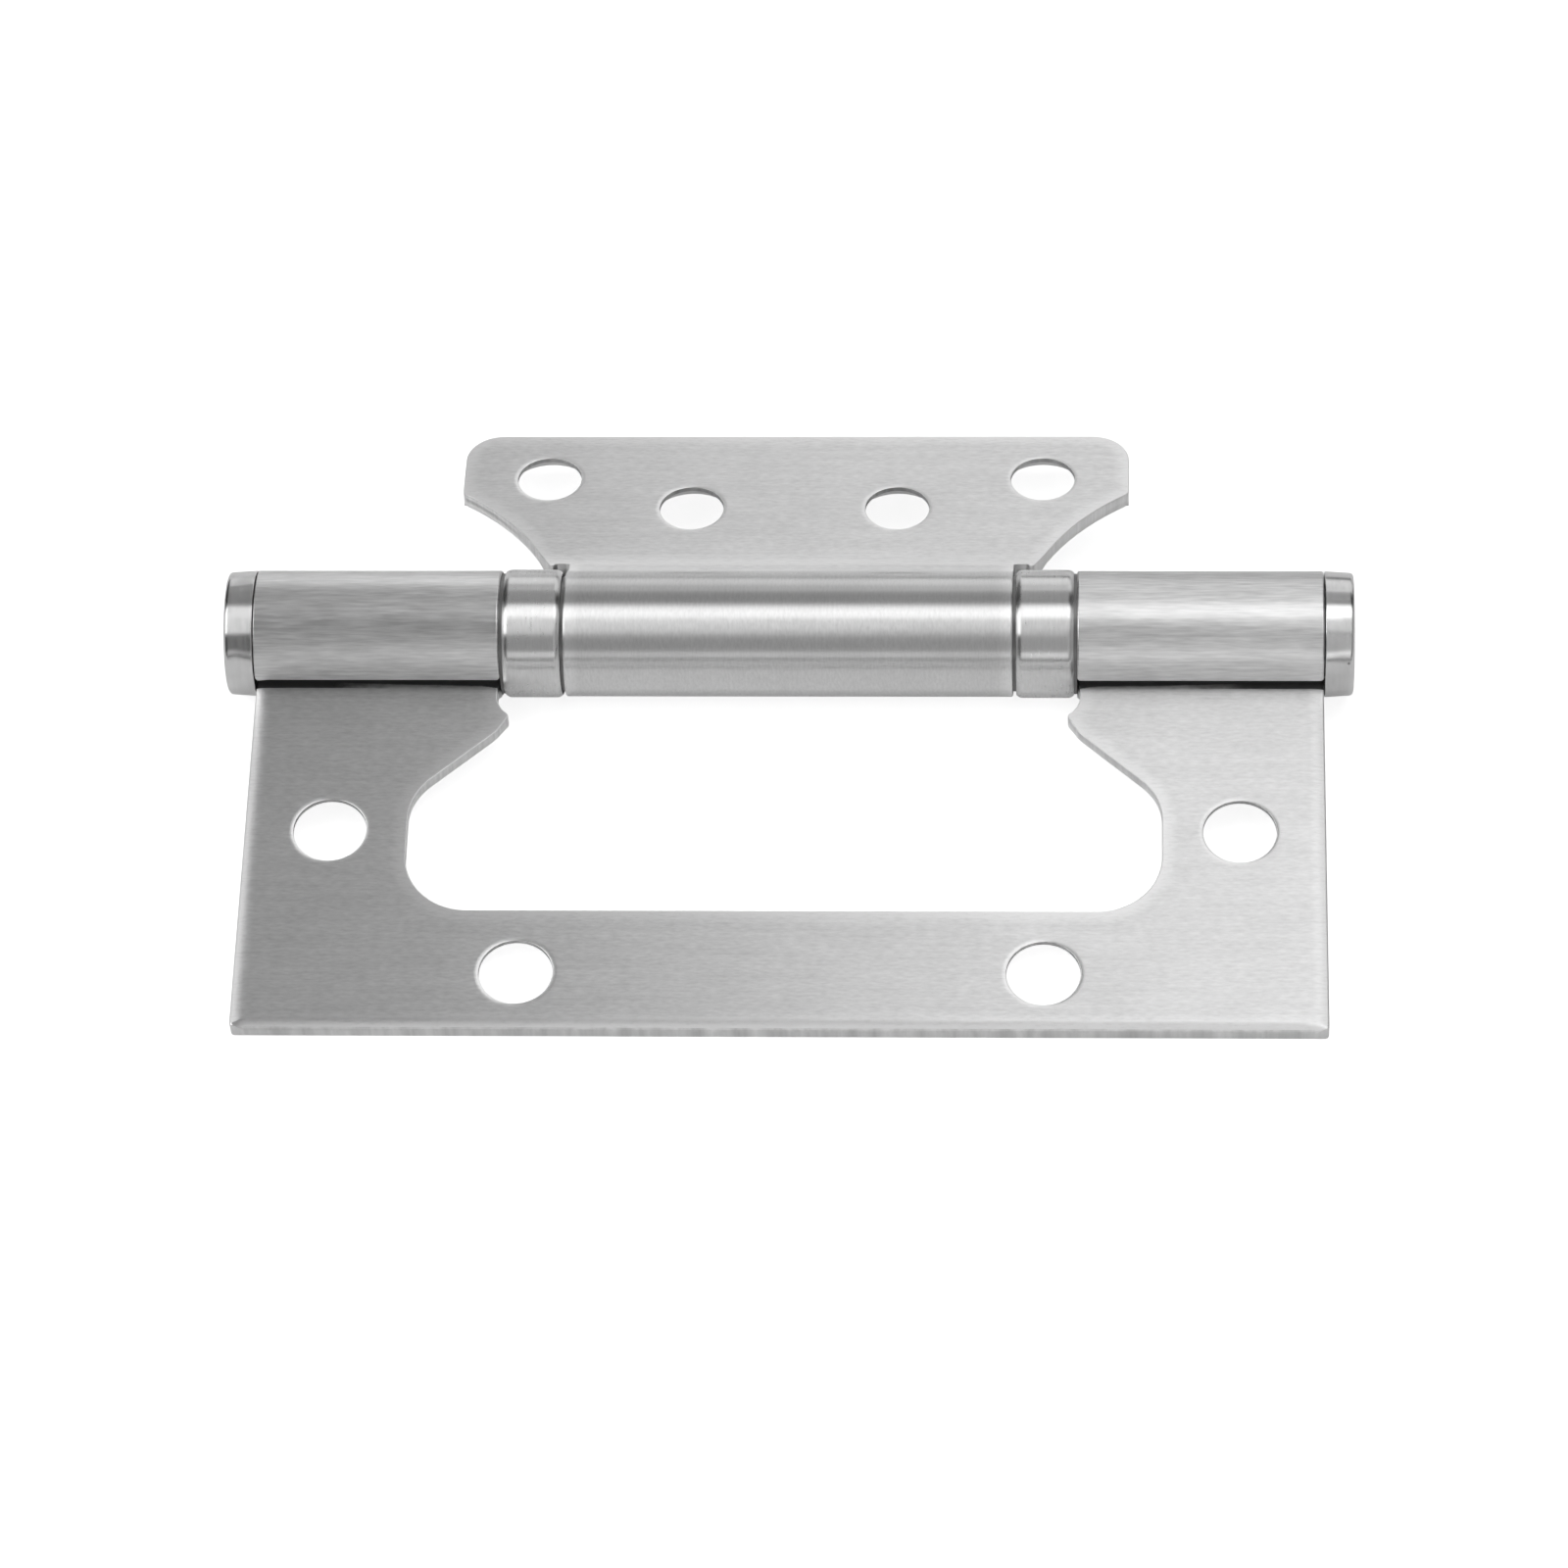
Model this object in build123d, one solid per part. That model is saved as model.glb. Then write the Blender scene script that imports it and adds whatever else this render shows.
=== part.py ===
from build123d import *
import math
import os

# A folding hinge of two sheet-steel leaves on one pin, in millimetres. The small leaf folds flat into
# the window of the large one. A ball thrust bearing fills each space between the knuckles.

# Sheet and knuckles, shared by both leaves
SHEET = 1.9
KNUCKLE_RADIUS = 5.9
LEAF_OFFSET = 1.5
PIN_CLEARANCE = 0.05

# Screw holes: a straight land at one face, then a countersink that opens at the other
HOLE_LAND = 0.5
COUNTERSINK_ANGLE = 82.0

# Large outer leaf
LEAF_LENGTH = 100.0
OUTER_REACH = 43.1
OUTER_FOOT_RADIUS = 1.0
OUTER_ROLL_END = 9.7
OUTER_HOLE_RADIUS = 3.4
REAR_HOLE_SHARE = 0.475
REAR_HOLE_Y = 21.8
FRONT_HOLE_X = 24.1
FRONT_HOLE_SHARE = 0.536
WINDOW_HALF_WIDTH = 34.9
WINDOW_REACH = 30.6
WINDOW_SLOPE = 42.4
WINDOW_SHOULDER_RADIUS = 6.0
WINDOW_CORNER_RADIUS = 6.0
EAR_STEP = 0.85
EAR_LENGTH = 1.8
EAR_SIDE = 0.15
EAR_RADIUS = 3.3

# Small inner leaf, which nests in the window
NEST_SIDE_CLEARANCE = 3.1
NEST_FRONT_CLEARANCE = 4.8
INNER_FOOT_RADIUS = 6.75
INNER_ROLL_END = 5.0
INNER_HOLE_RADIUS = 3.05
FAR_HOLE_INSET = 8.2
FAR_HOLE_SETBACK = 6.3
NEAR_HOLE_X = 9.8
NEAR_HOLE_SETBACK = 10.55
WING_ROOT_STEP = 2.6
WING_END = 8.4
WING_HOLLOW = 0.6
WING_CORNER_RADIUS = 3.5
WING_TIP_RADIUS = 0.8

# How the knuckles share the pin
CENTRE_KNUCKLE_HALF = 21.0
BEARING_SPACE = 6.0

# Ball bearings
SLEEVE_RADIUS = 6.0
SLEEVE_WALL = 0.35
SLEEVE_GAP = 0.2
SLEEVE_CHAMFER = 0.25
RACE_CLEARANCE = 0.25
RACE_SPACE = 0.8
BALL_RADIUS = 0.5
BALL_CLEARANCE = 0.05
BALL_COUNT = 6
CAGE_THICKNESS = 0.4
CAGE_PIN_CLEARANCE = 0.1
CAGE_SLEEVE_CLEARANCE = 0.15

# End caps and the pin's tenons
CAP_THICKNESS = 2.7
CAP_TAPER = 0.12
CAP_GAP = 0.1
CAP_CHAMFER = 0.3
CAP_RIM = 0.4
TENON_RADIUS = 2.5
TENON_LENGTH = 1.8
TENON_END_GAP = 0.1

# Angle between the leaves, past flat
FOLD = 13.3

# Derived sizes
HALF_SHEET = SHEET / 2
BORE_RADIUS = KNUCKLE_RADIUS - SHEET
MID_RADIUS = KNUCKLE_RADIUS - HALF_SHEET
PIN_RADIUS = BORE_RADIUS - PIN_CLEARANCE
HALF_LENGTH = LEAF_LENGTH / 2
OUTER_KNUCKLE_START = CENTRE_KNUCKLE_HALF + BEARING_SPACE
REAR_HOLE_X = WINDOW_HALF_WIDTH + REAR_HOLE_SHARE * (HALF_LENGTH - WINDOW_HALF_WIDTH)
FRONT_HOLE_Y = WINDOW_REACH + FRONT_HOLE_SHARE * (OUTER_REACH - WINDOW_REACH)
INNER_HALF_WIDTH = WINDOW_HALF_WIDTH - NEST_SIDE_CLEARANCE
INNER_REACH = WINDOW_REACH - NEST_FRONT_CLEARANCE
FAR_HOLE_X = INNER_HALF_WIDTH - FAR_HOLE_INSET
FAR_HOLE_Y = INNER_REACH - FAR_HOLE_SETBACK
NEAR_HOLE_Y = INNER_REACH - NEAR_HOLE_SETBACK
WING_TIP_Y = INNER_REACH - WING_END
SLEEVE_BORE = SLEEVE_RADIUS - SLEEVE_WALL
MOVING_RACE_RADIUS = SLEEVE_BORE - RACE_CLEARANCE
RACE_THICKNESS = (BEARING_SPACE - RACE_SPACE) / 2
BEARING_CENTRE = CENTRE_KNUCKLE_HALF + BEARING_SPACE / 2
CAGE_BORE = PIN_RADIUS + CAGE_PIN_CLEARANCE
CAGE_RADIUS = SLEEVE_BORE - CAGE_SLEEVE_CLEARANCE
BALL_PITCH_RADIUS = (CAGE_BORE + CAGE_RADIUS) / 2
CAP_START = HALF_LENGTH + CAP_GAP


def foot_start(foot_radius):
    """Distance from the pin axis to where a leaf's flat ends and its foot bend starts."""
    bend = foot_radius + HALF_SHEET
    return math.sqrt((MID_RADIUS + bend) ** 2 - (LEAF_OFFSET + bend) ** 2)


OUTER_FLAT_START = foot_start(OUTER_FOOT_RADIUS)
INNER_FLAT_START = foot_start(INNER_FOOT_RADIUS)

# The hinge lies on its bearing sleeves and on the lower front edge of the outer leaf
LOWER_FACE = LEAF_OFFSET + HALF_SHEET
UPPER_FACE = LEAF_OFFSET - HALF_SHEET
OUTER_DROOP = math.degrees(
    math.asin(SLEEVE_RADIUS / math.hypot(OUTER_REACH, LOWER_FACE)) - math.atan2(LOWER_FACE, OUTER_REACH)
)
INNER_DROOP = FOLD - OUTER_DROOP


def turned_y(y, z, degrees):
    """Y of a point after a turn about the pin axis."""
    angle = math.radians(degrees)
    return y * math.cos(angle) - z * math.sin(angle)


# The origin is under the middle of the hinge's bounding box
FRONT_Y = min(turned_y(-OUTER_REACH, -z, OUTER_DROOP) for z in (UPPER_FACE, LOWER_FACE))
BACK_Y = max(turned_y(INNER_REACH, z, -INNER_DROOP) for z in (UPPER_FACE, LOWER_FACE))
AXIS_Y = -(FRONT_Y + BACK_Y) / 2
AXIS_Z = SLEEVE_RADIUS


def place(shape, turn=0.0):
    """Turn a shape about the pin axis and set it in the hinge's frame."""
    return Pos(0, AXIS_Y, AXIS_Z) * Rot(turn, 0, 0) * shape


def polar(radius, degrees, centre=(0.0, 0.0)):
    """Point at a radius and angle from a centre."""
    angle = math.radians(degrees)
    return (centre[0] + radius * math.cos(angle), centre[1] + radius * math.sin(angle))


def along_pin(face, start, end):
    """Sweep a section drawn in Y and Z along the pin."""
    return extrude(Plane.YZ.offset(start) * face, amount=end - start, dir=(1, 0, 0))


def rolled_section(foot_radius, roll_end):
    """Section of the foot bend and the rolled knuckle of a leaf that lies towards +Y."""
    bend = foot_radius + HALF_SHEET
    flat_start = foot_start(foot_radius)
    foot = (flat_start, LEAF_OFFSET + bend)
    join = math.degrees(math.atan2(foot[1], foot[0]))
    down = 270.0
    foot_join = join + 180.0
    foot_middle = (down + foot_join) / 2
    last = 360.0 - roll_end
    roll_middle = (join + last) / 2
    low_radius = foot_radius + SHEET
    low = (flat_start, LEAF_OFFSET - HALF_SHEET)
    high = (flat_start, LEAF_OFFSET + HALF_SHEET)
    edges = [
        ThreePointArc(low, polar(low_radius, foot_middle, foot), polar(BORE_RADIUS, join)),
        ThreePointArc(polar(BORE_RADIUS, join), polar(BORE_RADIUS, roll_middle), polar(BORE_RADIUS, last)),
        Line(polar(BORE_RADIUS, last), polar(KNUCKLE_RADIUS, last)),
        ThreePointArc(
            polar(KNUCKLE_RADIUS, last), polar(KNUCKLE_RADIUS, roll_middle), polar(KNUCKLE_RADIUS, join)
        ),
        ThreePointArc(polar(KNUCKLE_RADIUS, join), polar(foot_radius, foot_middle, foot), high),
        Line(high, low),
    ]
    return make_face(edges)


def sheet_plate(outline):
    """Flat sheet of a leaf that lies towards +Y, at the leaf's height over the pin axis."""
    return extrude(Plane.XY.offset(UPPER_FACE) * outline, amount=SHEET, dir=(0, 0, 1))


def screw_holes(radius, x, y, mouth):
    """Two countersunk holes, mirrored about the middle of the leaf, as solids to cut away.

    mouth is 1 where the countersinks open at the face away from the pin axis, and -1 at the nearer one.
    """
    depth = SHEET - HOLE_LAND
    mouth_radius = radius + depth * math.tan(math.radians(COUNTERSINK_ANGLE / 2))
    ends = (radius, mouth_radius) if mouth > 0 else (mouth_radius, radius)
    bore = Pos(0, 0, LEAF_OFFSET) * Cylinder(radius, 2 * SHEET)
    sink = Pos(0, 0, LEAF_OFFSET + mouth * HOLE_LAND / 2) * Cone(*ends, depth)
    hole = bore + sink
    return [Pos(-x, y) * hole, Pos(x, y) * hole]


def window_outline():
    """Window of the outer leaf, open towards the pin."""
    ear_x = OUTER_KNUCKLE_START - EAR_STEP
    ear_y = OUTER_FLAT_START + EAR_LENGTH
    slope = math.radians(WINDOW_SLOPE)
    root_y = ear_y + EAR_SIDE + EAR_RADIUS * math.tan((math.pi / 2 - slope) / 2)
    shoulder_y = root_y + (WINDOW_HALF_WIDTH - ear_x) * math.tan(slope)
    right = [
        (OUTER_KNUCKLE_START, OUTER_FLAT_START - SHEET),
        (OUTER_KNUCKLE_START, OUTER_FLAT_START),
        (ear_x, ear_y),
        (ear_x, root_y),
        (WINDOW_HALF_WIDTH, shoulder_y),
        (WINDOW_HALF_WIDTH, WINDOW_REACH),
    ]
    radii = [0.0, 0.0, 0.0, EAR_RADIUS, WINDOW_SHOULDER_RADIUS, WINDOW_CORNER_RADIUS]
    left = [(-x, y) for x, y in reversed(right)]
    return make_face(FilletPolyline(*right, *left, radius=radii + radii[::-1], close=True))


def outer_leaf():
    """Large leaf: flat sheet with the window, rolled into one knuckle at each end."""
    middle = (OUTER_FLAT_START + OUTER_REACH) / 2
    outline = Pos(0, middle) * Rectangle(LEAF_LENGTH, OUTER_REACH - OUTER_FLAT_START)
    outline -= window_outline()
    section = rolled_section(OUTER_FOOT_RADIUS, OUTER_ROLL_END)
    leaf = sheet_plate(outline)
    leaf -= screw_holes(OUTER_HOLE_RADIUS, REAR_HOLE_X, REAR_HOLE_Y, 1)
    leaf -= screw_holes(OUTER_HOLE_RADIUS, FRONT_HOLE_X, FRONT_HOLE_Y, 1)
    leaf += along_pin(section, -HALF_LENGTH, -OUTER_KNUCKLE_START)
    leaf += along_pin(section, OUTER_KNUCKLE_START, HALF_LENGTH)
    return leaf


def wing_outline():
    """Outline of the inner leaf's flat: two wings with hollow edges towards the pin."""
    root = (CENTRE_KNUCKLE_HALF + WING_ROOT_STEP, INNER_FLAT_START)
    tip = (INNER_HALF_WIDTH, WING_TIP_Y)
    corner = (INNER_HALF_WIDTH, INNER_REACH)
    chord = (tip[0] - root[0], tip[1] - root[1])
    length = math.hypot(*chord)
    hollow = (
        (root[0] + tip[0]) / 2 - WING_HOLLOW * chord[1] / length,
        (root[1] + tip[1]) / 2 + WING_HOLLOW * chord[0] / length,
    )
    right = [ThreePointArc(root, hollow, tip), Line(tip, corner)]
    left = [mirror(edge, about=Plane.YZ) for edge in right]
    near = Line((-root[0], root[1]), root)
    far = Line(corner, (-corner[0], corner[1]))
    face = make_face([near, *right, far, *left])
    corners = [v for v in face.vertices() if math.isclose(v.Y, INNER_REACH)]
    face = fillet(corners, WING_CORNER_RADIUS)
    tips = [v for v in face.vertices() if math.isclose(v.Y, WING_TIP_Y)]
    return fillet(tips, WING_TIP_RADIUS)


def inner_leaf():
    """Small leaf: winged flat sheet rolled into the middle knuckle."""
    leaf = sheet_plate(wing_outline())
    leaf -= screw_holes(INNER_HOLE_RADIUS, FAR_HOLE_X, FAR_HOLE_Y, -1)
    leaf -= screw_holes(INNER_HOLE_RADIUS, NEAR_HOLE_X, NEAR_HOLE_Y, -1)
    section = rolled_section(INNER_FOOT_RADIUS, INNER_ROLL_END)
    return leaf + along_pin(section, -CENTRE_KNUCKLE_HALF, CENTRE_KNUCKLE_HALF)


def turned(points):
    """Revolve a profile, given as places along the pin and radii, round the pin."""
    return revolve(make_face(Polyline(*points, close=True)), Axis.X, 360)


def hinge_pin():
    """Plain pin with a thinner tenon at each end."""
    tenon_end = CAP_START + TENON_LENGTH
    return along_pin(Circle(PIN_RADIUS), -CAP_START, CAP_START) + along_pin(
        Circle(TENON_RADIUS), -tenon_end, tenon_end
    )


def end_cap():
    """Right end cap: tapered disc with bevelled rims and a blind hole for the tenon."""
    outer_end = CAP_START + CAP_THICKNESS
    rim = KNUCKLE_RADIUS - CAP_TAPER
    hole_end = CAP_START + TENON_LENGTH + TENON_END_GAP
    points = [
        (CAP_START, TENON_RADIUS),
        (CAP_START, KNUCKLE_RADIUS - CAP_CHAMFER),
        (CAP_START + CAP_CHAMFER, KNUCKLE_RADIUS),
        (outer_end - CAP_RIM, rim),
        (outer_end, rim - CAP_RIM),
        (outer_end, 0),
        (hole_end, 0),
        (hole_end, TENON_RADIUS),
    ]
    return turned(points)


def bearing_sleeve():
    """Thin sleeve round the right-hand bearing, chamfered at both ends."""
    start = CENTRE_KNUCKLE_HALF + SLEEVE_GAP
    end = OUTER_KNUCKLE_START - SLEEVE_GAP
    edge = SLEEVE_RADIUS - SLEEVE_CHAMFER
    points = [
        (start, SLEEVE_BORE),
        (start, edge),
        (start + SLEEVE_CHAMFER, SLEEVE_RADIUS),
        (end - SLEEVE_CHAMFER, SLEEVE_RADIUS),
        (end, edge),
        (end, SLEEVE_BORE),
    ]
    return turned(points)


def race(back, face, radius):
    """Race between its back and the face that carries the balls, with a square ball track."""
    inward = math.copysign(1.0, BEARING_CENTRE - back)
    floor = BEARING_CENTRE - inward * (BALL_RADIUS + BALL_CLEARANCE)
    points = [
        (back, BORE_RADIUS),
        (back, radius),
        (face, radius),
        (face, BALL_PITCH_RADIUS + BALL_RADIUS),
        (floor, BALL_PITCH_RADIUS + BALL_RADIUS),
        (floor, BALL_PITCH_RADIUS - BALL_RADIUS),
        (face, BALL_PITCH_RADIUS - BALL_RADIUS),
        (face, BORE_RADIUS),
    ]
    return turned(points)


def fixed_race():
    """Right-hand race that stays with the outer leaf."""
    return race(OUTER_KNUCKLE_START, OUTER_KNUCKLE_START - RACE_THICKNESS, SLEEVE_BORE)


def moving_race():
    """Right-hand race that turns with the inner leaf."""
    return race(CENTRE_KNUCKLE_HALF, CENTRE_KNUCKLE_HALF + RACE_THICKNESS, MOVING_RACE_RADIUS)


def ball_places():
    """Centres of the right-hand bearing's balls."""
    step = 360.0 / BALL_COUNT
    return [(BEARING_CENTRE, *polar(BALL_PITCH_RADIUS, step * k)) for k in range(BALL_COUNT)]


def ball_cage():
    """Right-hand cage: flat ring with one round pocket for each ball."""
    start = BEARING_CENTRE - CAGE_THICKNESS / 2
    end = BEARING_CENTRE + CAGE_THICKNESS / 2
    pockets = [Pos(y, z) * Circle(BALL_RADIUS) for _, y, z in ball_places()]
    return along_pin(Circle(CAGE_RADIUS) - Circle(CAGE_BORE) - pockets, start, end)


def both_sides(name, shape):
    """Right-hand piece and its mirror image on the left."""
    return {f"left_{name}": mirror(shape, about=Plane.YZ), f"right_{name}": shape}


os.makedirs("parts", exist_ok=True)

pieces = {"hinge_pin": hinge_pin()}
pieces.update(both_sides("end_cap", end_cap()))
pieces.update(both_sides("bearing_sleeve", bearing_sleeve()))
pieces.update(both_sides("fixed_race", fixed_race()))
pieces.update(both_sides("moving_race", moving_race()))
pieces.update(both_sides("ball_cage", ball_cage()))
for number, centre in enumerate(ball_places(), start=1):
    pieces.update(both_sides(f"ball_{number}", Pos(*centre) * Sphere(BALL_RADIUS)))

# The outer leaf is drawn towards +Y and turned over to the front
export_step(place(outer_leaf(), 180.0 + OUTER_DROOP), "parts/outer_leaf.step")
export_step(place(inner_leaf(), -INNER_DROOP), "parts/inner_leaf.step")
for node, shape in pieces.items():
    export_step(place(shape), f"parts/{node}.step")
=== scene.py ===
import math

import bpy
import numpy as np
from mathutils import Matrix, Vector
from mathutils.geometry import delaunay_2d_cdt


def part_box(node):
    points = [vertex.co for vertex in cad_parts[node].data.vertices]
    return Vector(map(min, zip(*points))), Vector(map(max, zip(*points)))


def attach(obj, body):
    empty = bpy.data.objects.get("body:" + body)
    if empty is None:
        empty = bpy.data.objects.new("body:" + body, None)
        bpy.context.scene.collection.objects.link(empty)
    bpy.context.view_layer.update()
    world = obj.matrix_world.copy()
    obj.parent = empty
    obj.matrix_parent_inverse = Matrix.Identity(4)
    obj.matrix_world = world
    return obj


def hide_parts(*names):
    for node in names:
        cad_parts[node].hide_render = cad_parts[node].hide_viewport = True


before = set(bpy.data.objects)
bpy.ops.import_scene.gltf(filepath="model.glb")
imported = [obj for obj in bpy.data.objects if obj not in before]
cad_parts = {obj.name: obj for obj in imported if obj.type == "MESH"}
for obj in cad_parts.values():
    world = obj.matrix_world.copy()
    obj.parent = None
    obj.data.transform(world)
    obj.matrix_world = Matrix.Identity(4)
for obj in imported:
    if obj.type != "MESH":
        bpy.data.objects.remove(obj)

bl_info = {
    "name": "Folding door hinge",
    "version": (1, 0, 0),
    "blender": (4, 5, 0),
    "location": "3D View > Sidebar > Hinge",
    "description": "Builds the looks of a folding door hinge and its studio round the packed model",
    "category": "Add Mesh",
}

MM = 0.001
RIBBON = "grain"

# Edges: steps round one, inset of the outline's inner row, rows of the soft band inside it, width of the
# front edge as a share of a worn one, depth of a fallen edge as a share of the sheet, and rounding of the
# left end
ARC_POINTS = 7
RING_INSET = 0.26 * MM
BAND_ROWS = 4
FRONT_WIDTH = 0.6
FALLEN_DEPTH = 0.6
LEFT_END_EDGE = 0.07 * MM

# Steel: painted shade on the holes' walls and the front wall's share of it, how much lighter worn edges are
# (wear with a painted highlight), the painted shade's tone, and the depths of the polish lines and of the
# waves
WALL_SHADE = 0.52
FRONT_WALL_SHADE = 0.87
WEAR_AND_SHEEN_LIGHT = 0.2
PAINTED_SHADE_TONE = 0.16
LINE_DEPTH = 0.004 * MM
WAVE_DEPTH = 0.08 * MM

# Outlines: corner radius, band of an outer edge, points on curves, and how far a cut wall falls back, as
# millimetres along the sheet or past the wing's root and the share there
SMALL_ROUND = 0.36 * MM
EDGE_REACH = 0.4 * MM
NOTCH_SHARE = 0.78
NOTCH_POINTS = 8
HOLLOW_POINTS = 13
OUTER_RECESS = (1.2, 2.5, 3.1, 4.8), (0.0, 0.35, 0.35, 1.0)
INNER_RECESS = (0.0, 0.4, 1.6), (0.3, 0.35, 0.85)

# Ties across the rolled tongues, in millimetres: the middle tongue's half width before and past its notch
TIE_WIDE, TIE_NARROW = 26, 22
NOTCH_PLACE = -1.65
SHORTEST_TIE = 15

# Painted shade under the roll: millimetres along the sheet and its amount. The left end's face gets no
# painted shade
SLOT_SHADE = (-1.8, -1.2, -0.14, -0.01), (0, 1, 1, 0)
UNSHADED_END = -49.9 * MM

# Share of a cap's radius past which its dents are full
DENTED = 0.9153

# Studio: picture in pixels, sensor in millimetres, the world's grey, and the floor's glow to light and camera
PICTURE = 1600
SENSOR = 36.0
WORLD_GREY = 0.45
FLOOR_GLOW = 0.13, 0.75


# Settings


def length(millimetres, description):
    """Length property, given in millimetres and kept in metres."""
    metres = millimetres * MM
    return bpy.props.FloatProperty(description=description, default=metres, unit="LENGTH", precision=5)


def share(default, description):
    """Number between 0 and 1."""
    return bpy.props.FloatProperty(description=description, default=default, min=0.0, max=1.0)


def number(default, description):
    """Plain number, such as an angle in degrees."""
    return bpy.props.FloatProperty(description=description, default=default)


def whole(default, description):
    """Whole number."""
    return bpy.props.IntProperty(description=description, default=default)


class SheetSettings(bpy.types.PropertyGroup):
    """Sizes that both leaves share."""

    sheet: length(1.9, "Thickness of the steel sheet")
    knuckle: length(5.9, "Outer radius of the rolled knuckles")
    offset: length(1.5, "Distance from the pin axis to the middle of a leaf's sheet")
    rolled_width: length(1.5, "Width of the worn outer edges on the seen side")
    rolled_depth: length(0.19, "How far the worn outer edges drop")
    front_depth: length(1.2, "How far the worn front edge drops")
    cut_edge: length(0.08, "Rounding of the other cut edges on the seen side")
    recess: length(0.6, "How far a cut wall falls back to its hidden edge")
    knuckle_edge: length(0.2, "Rounding of the knuckles' outer ends")
    hidden_edge: length(0.12, "Broken edge on the other side of the sheet")
    hole_width: length(0.5, "Width of the soft edge round a screw hole")
    hole_depth: length(0.05, "How far the soft edge round a screw hole drops")
    hole_land: length(0.5, "Straight wall of a screw hole above its countersink")
    countersink: number(82.0, "Full angle of a countersink in degrees")
    step: length(0.14, "Step along the sheet where it is bent")


class OuterSettings(bpy.types.PropertyGroup):
    """Sizes of the large leaf."""

    half_length: length(50.0, "Half of the leaf's length along the pin")
    reach: length(43.1, "Pin axis to the front edge")
    foot: length(1.0, "Inner radius of the bend at the knuckle's foot")
    roll_end: number(6.0, "Angle left open by the roll")
    knuckle_start: length(27.0, "Middle of the leaf to the knuckles")
    window_half: length(34.9, "Half width of the window")
    window_reach: length(30.6, "Pin axis to the window's front edge")
    window_round: length(6.0, "Radius of the window's corners")
    ear_step: length(0.95, "How far an ear's tip reaches past the knuckle's end")
    ear_length: length(2.9, "Foot of the knuckle to the ear's tip")
    ear_back: length(1.1, "Ear's tip to the start of the window's shoulder, along the pin")
    notch: length(2.7, "Radius of the notch between the knuckle and an ear's tip")
    notch_depth: length(0.3, "How far the notch cuts in past the knuckle's end")
    ear_slope: number(60.0, "Slope from an ear's tip to the shoulder")
    ear_round: length(3.0, "Radius where an ear meets the shoulder")
    slope: number(42.4, "Slope of the shoulders")
    hole: length(3.4, "Radius of the screw holes")
    rear_share: share(0.475, "Place of the rear holes between the window and the leaf's end")
    rear_hole: length(21.8, "Pin axis to the rear screw holes")
    front_hole: length(24.1, "Middle of the leaf to the front screw holes")
    front_share: share(0.536, "Place of the front holes between the window and the edge")


class InnerSettings(bpy.types.PropertyGroup):
    """Sizes of the small leaf."""

    half_width: length(31.8, "Half width across the wings")
    reach: length(25.8, "Pin axis to the far edge")
    foot: length(6.75, "Inner radius of the bend at the knuckle's foot")
    roll_end: number(5.0, "Angle left open by the roll")
    knuckle_half: length(21.0, "Half length of the middle knuckle")
    root_step: length(1.65, "Knuckle's end to the wing's root")
    root_drop: length(3.05, "How far the wing's root reaches past the start of the flat")
    notch_drop: length(2.0, "How far the notch beside the knuckle lies past the start of the flat")
    notch_round: length(0.2, "Radius of the notch's far corner")
    tip: length(17.4, "Pin axis to the wing's tip")
    hollow: length(1.2, "Depth of the hollow in a wing's edge")
    corner: length(3.5, "Radius of the far corners")
    tip_round: length(0.8, "Radius of the wing tips")
    hole: length(3.05, "Radius of the screw holes")
    far_inset: length(8.2, "Wing's end to the far screw holes")
    far_setback: length(6.3, "Far edge to the far screw holes")
    near_hole: length(9.8, "Middle of the leaf to the near screw holes")
    near_setback: length(10.55, "Far edge to the near screw holes")


class TurnedSettings(bpy.types.PropertyGroup):
    """Sizes of the polished rings and the end caps."""

    ring_bore: length(5.65, "Inner radius of a ring")
    ring_radius: length(6.0, "Outer radius of a ring")
    ring_width: length(5.6, "Width of a ring along the pin")
    ring_place: length(24.0, "Middle of the hinge to the middle of a ring")
    ring_bevel: length(0.42, "How much shorter a ring is outside than inside, at each end")
    ring_edge: length(0.06, "Rounding of a ring's inner corners")
    ring_shoulder: length(0.7, "How much rounder a ring's outer corners are")
    segments: whole(256, "Segments round a ring or a cap")
    cap_start: length(50.1, "Middle of the hinge to a cap's inner face")
    cap_width: length(2.7, "Thickness of a cap")
    cap_radius: length(5.9, "Radius of a cap at its inner edge")
    cap_taper: length(0.12, "How much narrower a cap is at its outer edge")
    cap_inner_edge: length(0.08, "Bevel at a cap's inner edge")
    cap_dents: whole(26, "Shallow dents round a cap")
    dent_depth: length(0.03, "Depth of the deepest dents in a cap")
    cap_rim: length(0.4, "Bevel at a cap's outer edge")
    tenon: length(2.5, "Radius of the hole for the pin's tenon")


class StudioSettings(bpy.types.PropertyGroup):
    """Camera and light tent."""

    focal_px: number(7448.7, "In pixels of the square picture")
    distance: length(685.86, "Camera to the middle of the pin")
    elevation: number(56.123, "Above the large leaf's plane")
    turn: number(4.781, "Camera's turn about the leaf's normal")
    roll: number(3.870, "Camera's roll")
    pin_u: number(805.862, "Pin's middle in the picture")
    pin_v: number(646.670, "Pin's middle in the picture")
    fold: number(13.3, "Angle between the leaves, past flat")
    tent: length(1200.0, "Radius of the light tent")
    floor: share(0.72, "Paleness of the floor")


SETTINGS = {
    "hinge_sheet": SheetSettings,
    "hinge_outer": OuterSettings,
    "hinge_inner": InnerSettings,
    "hinge_turned": TurnedSettings,
    "hinge_studio": StudioSettings,
}


def axis_place():
    """Height and depth of the pin axis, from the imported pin."""
    low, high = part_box("hinge_pin")
    return (low[1] + high[1]) / 2, (low[2] + high[2]) / 2


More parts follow.
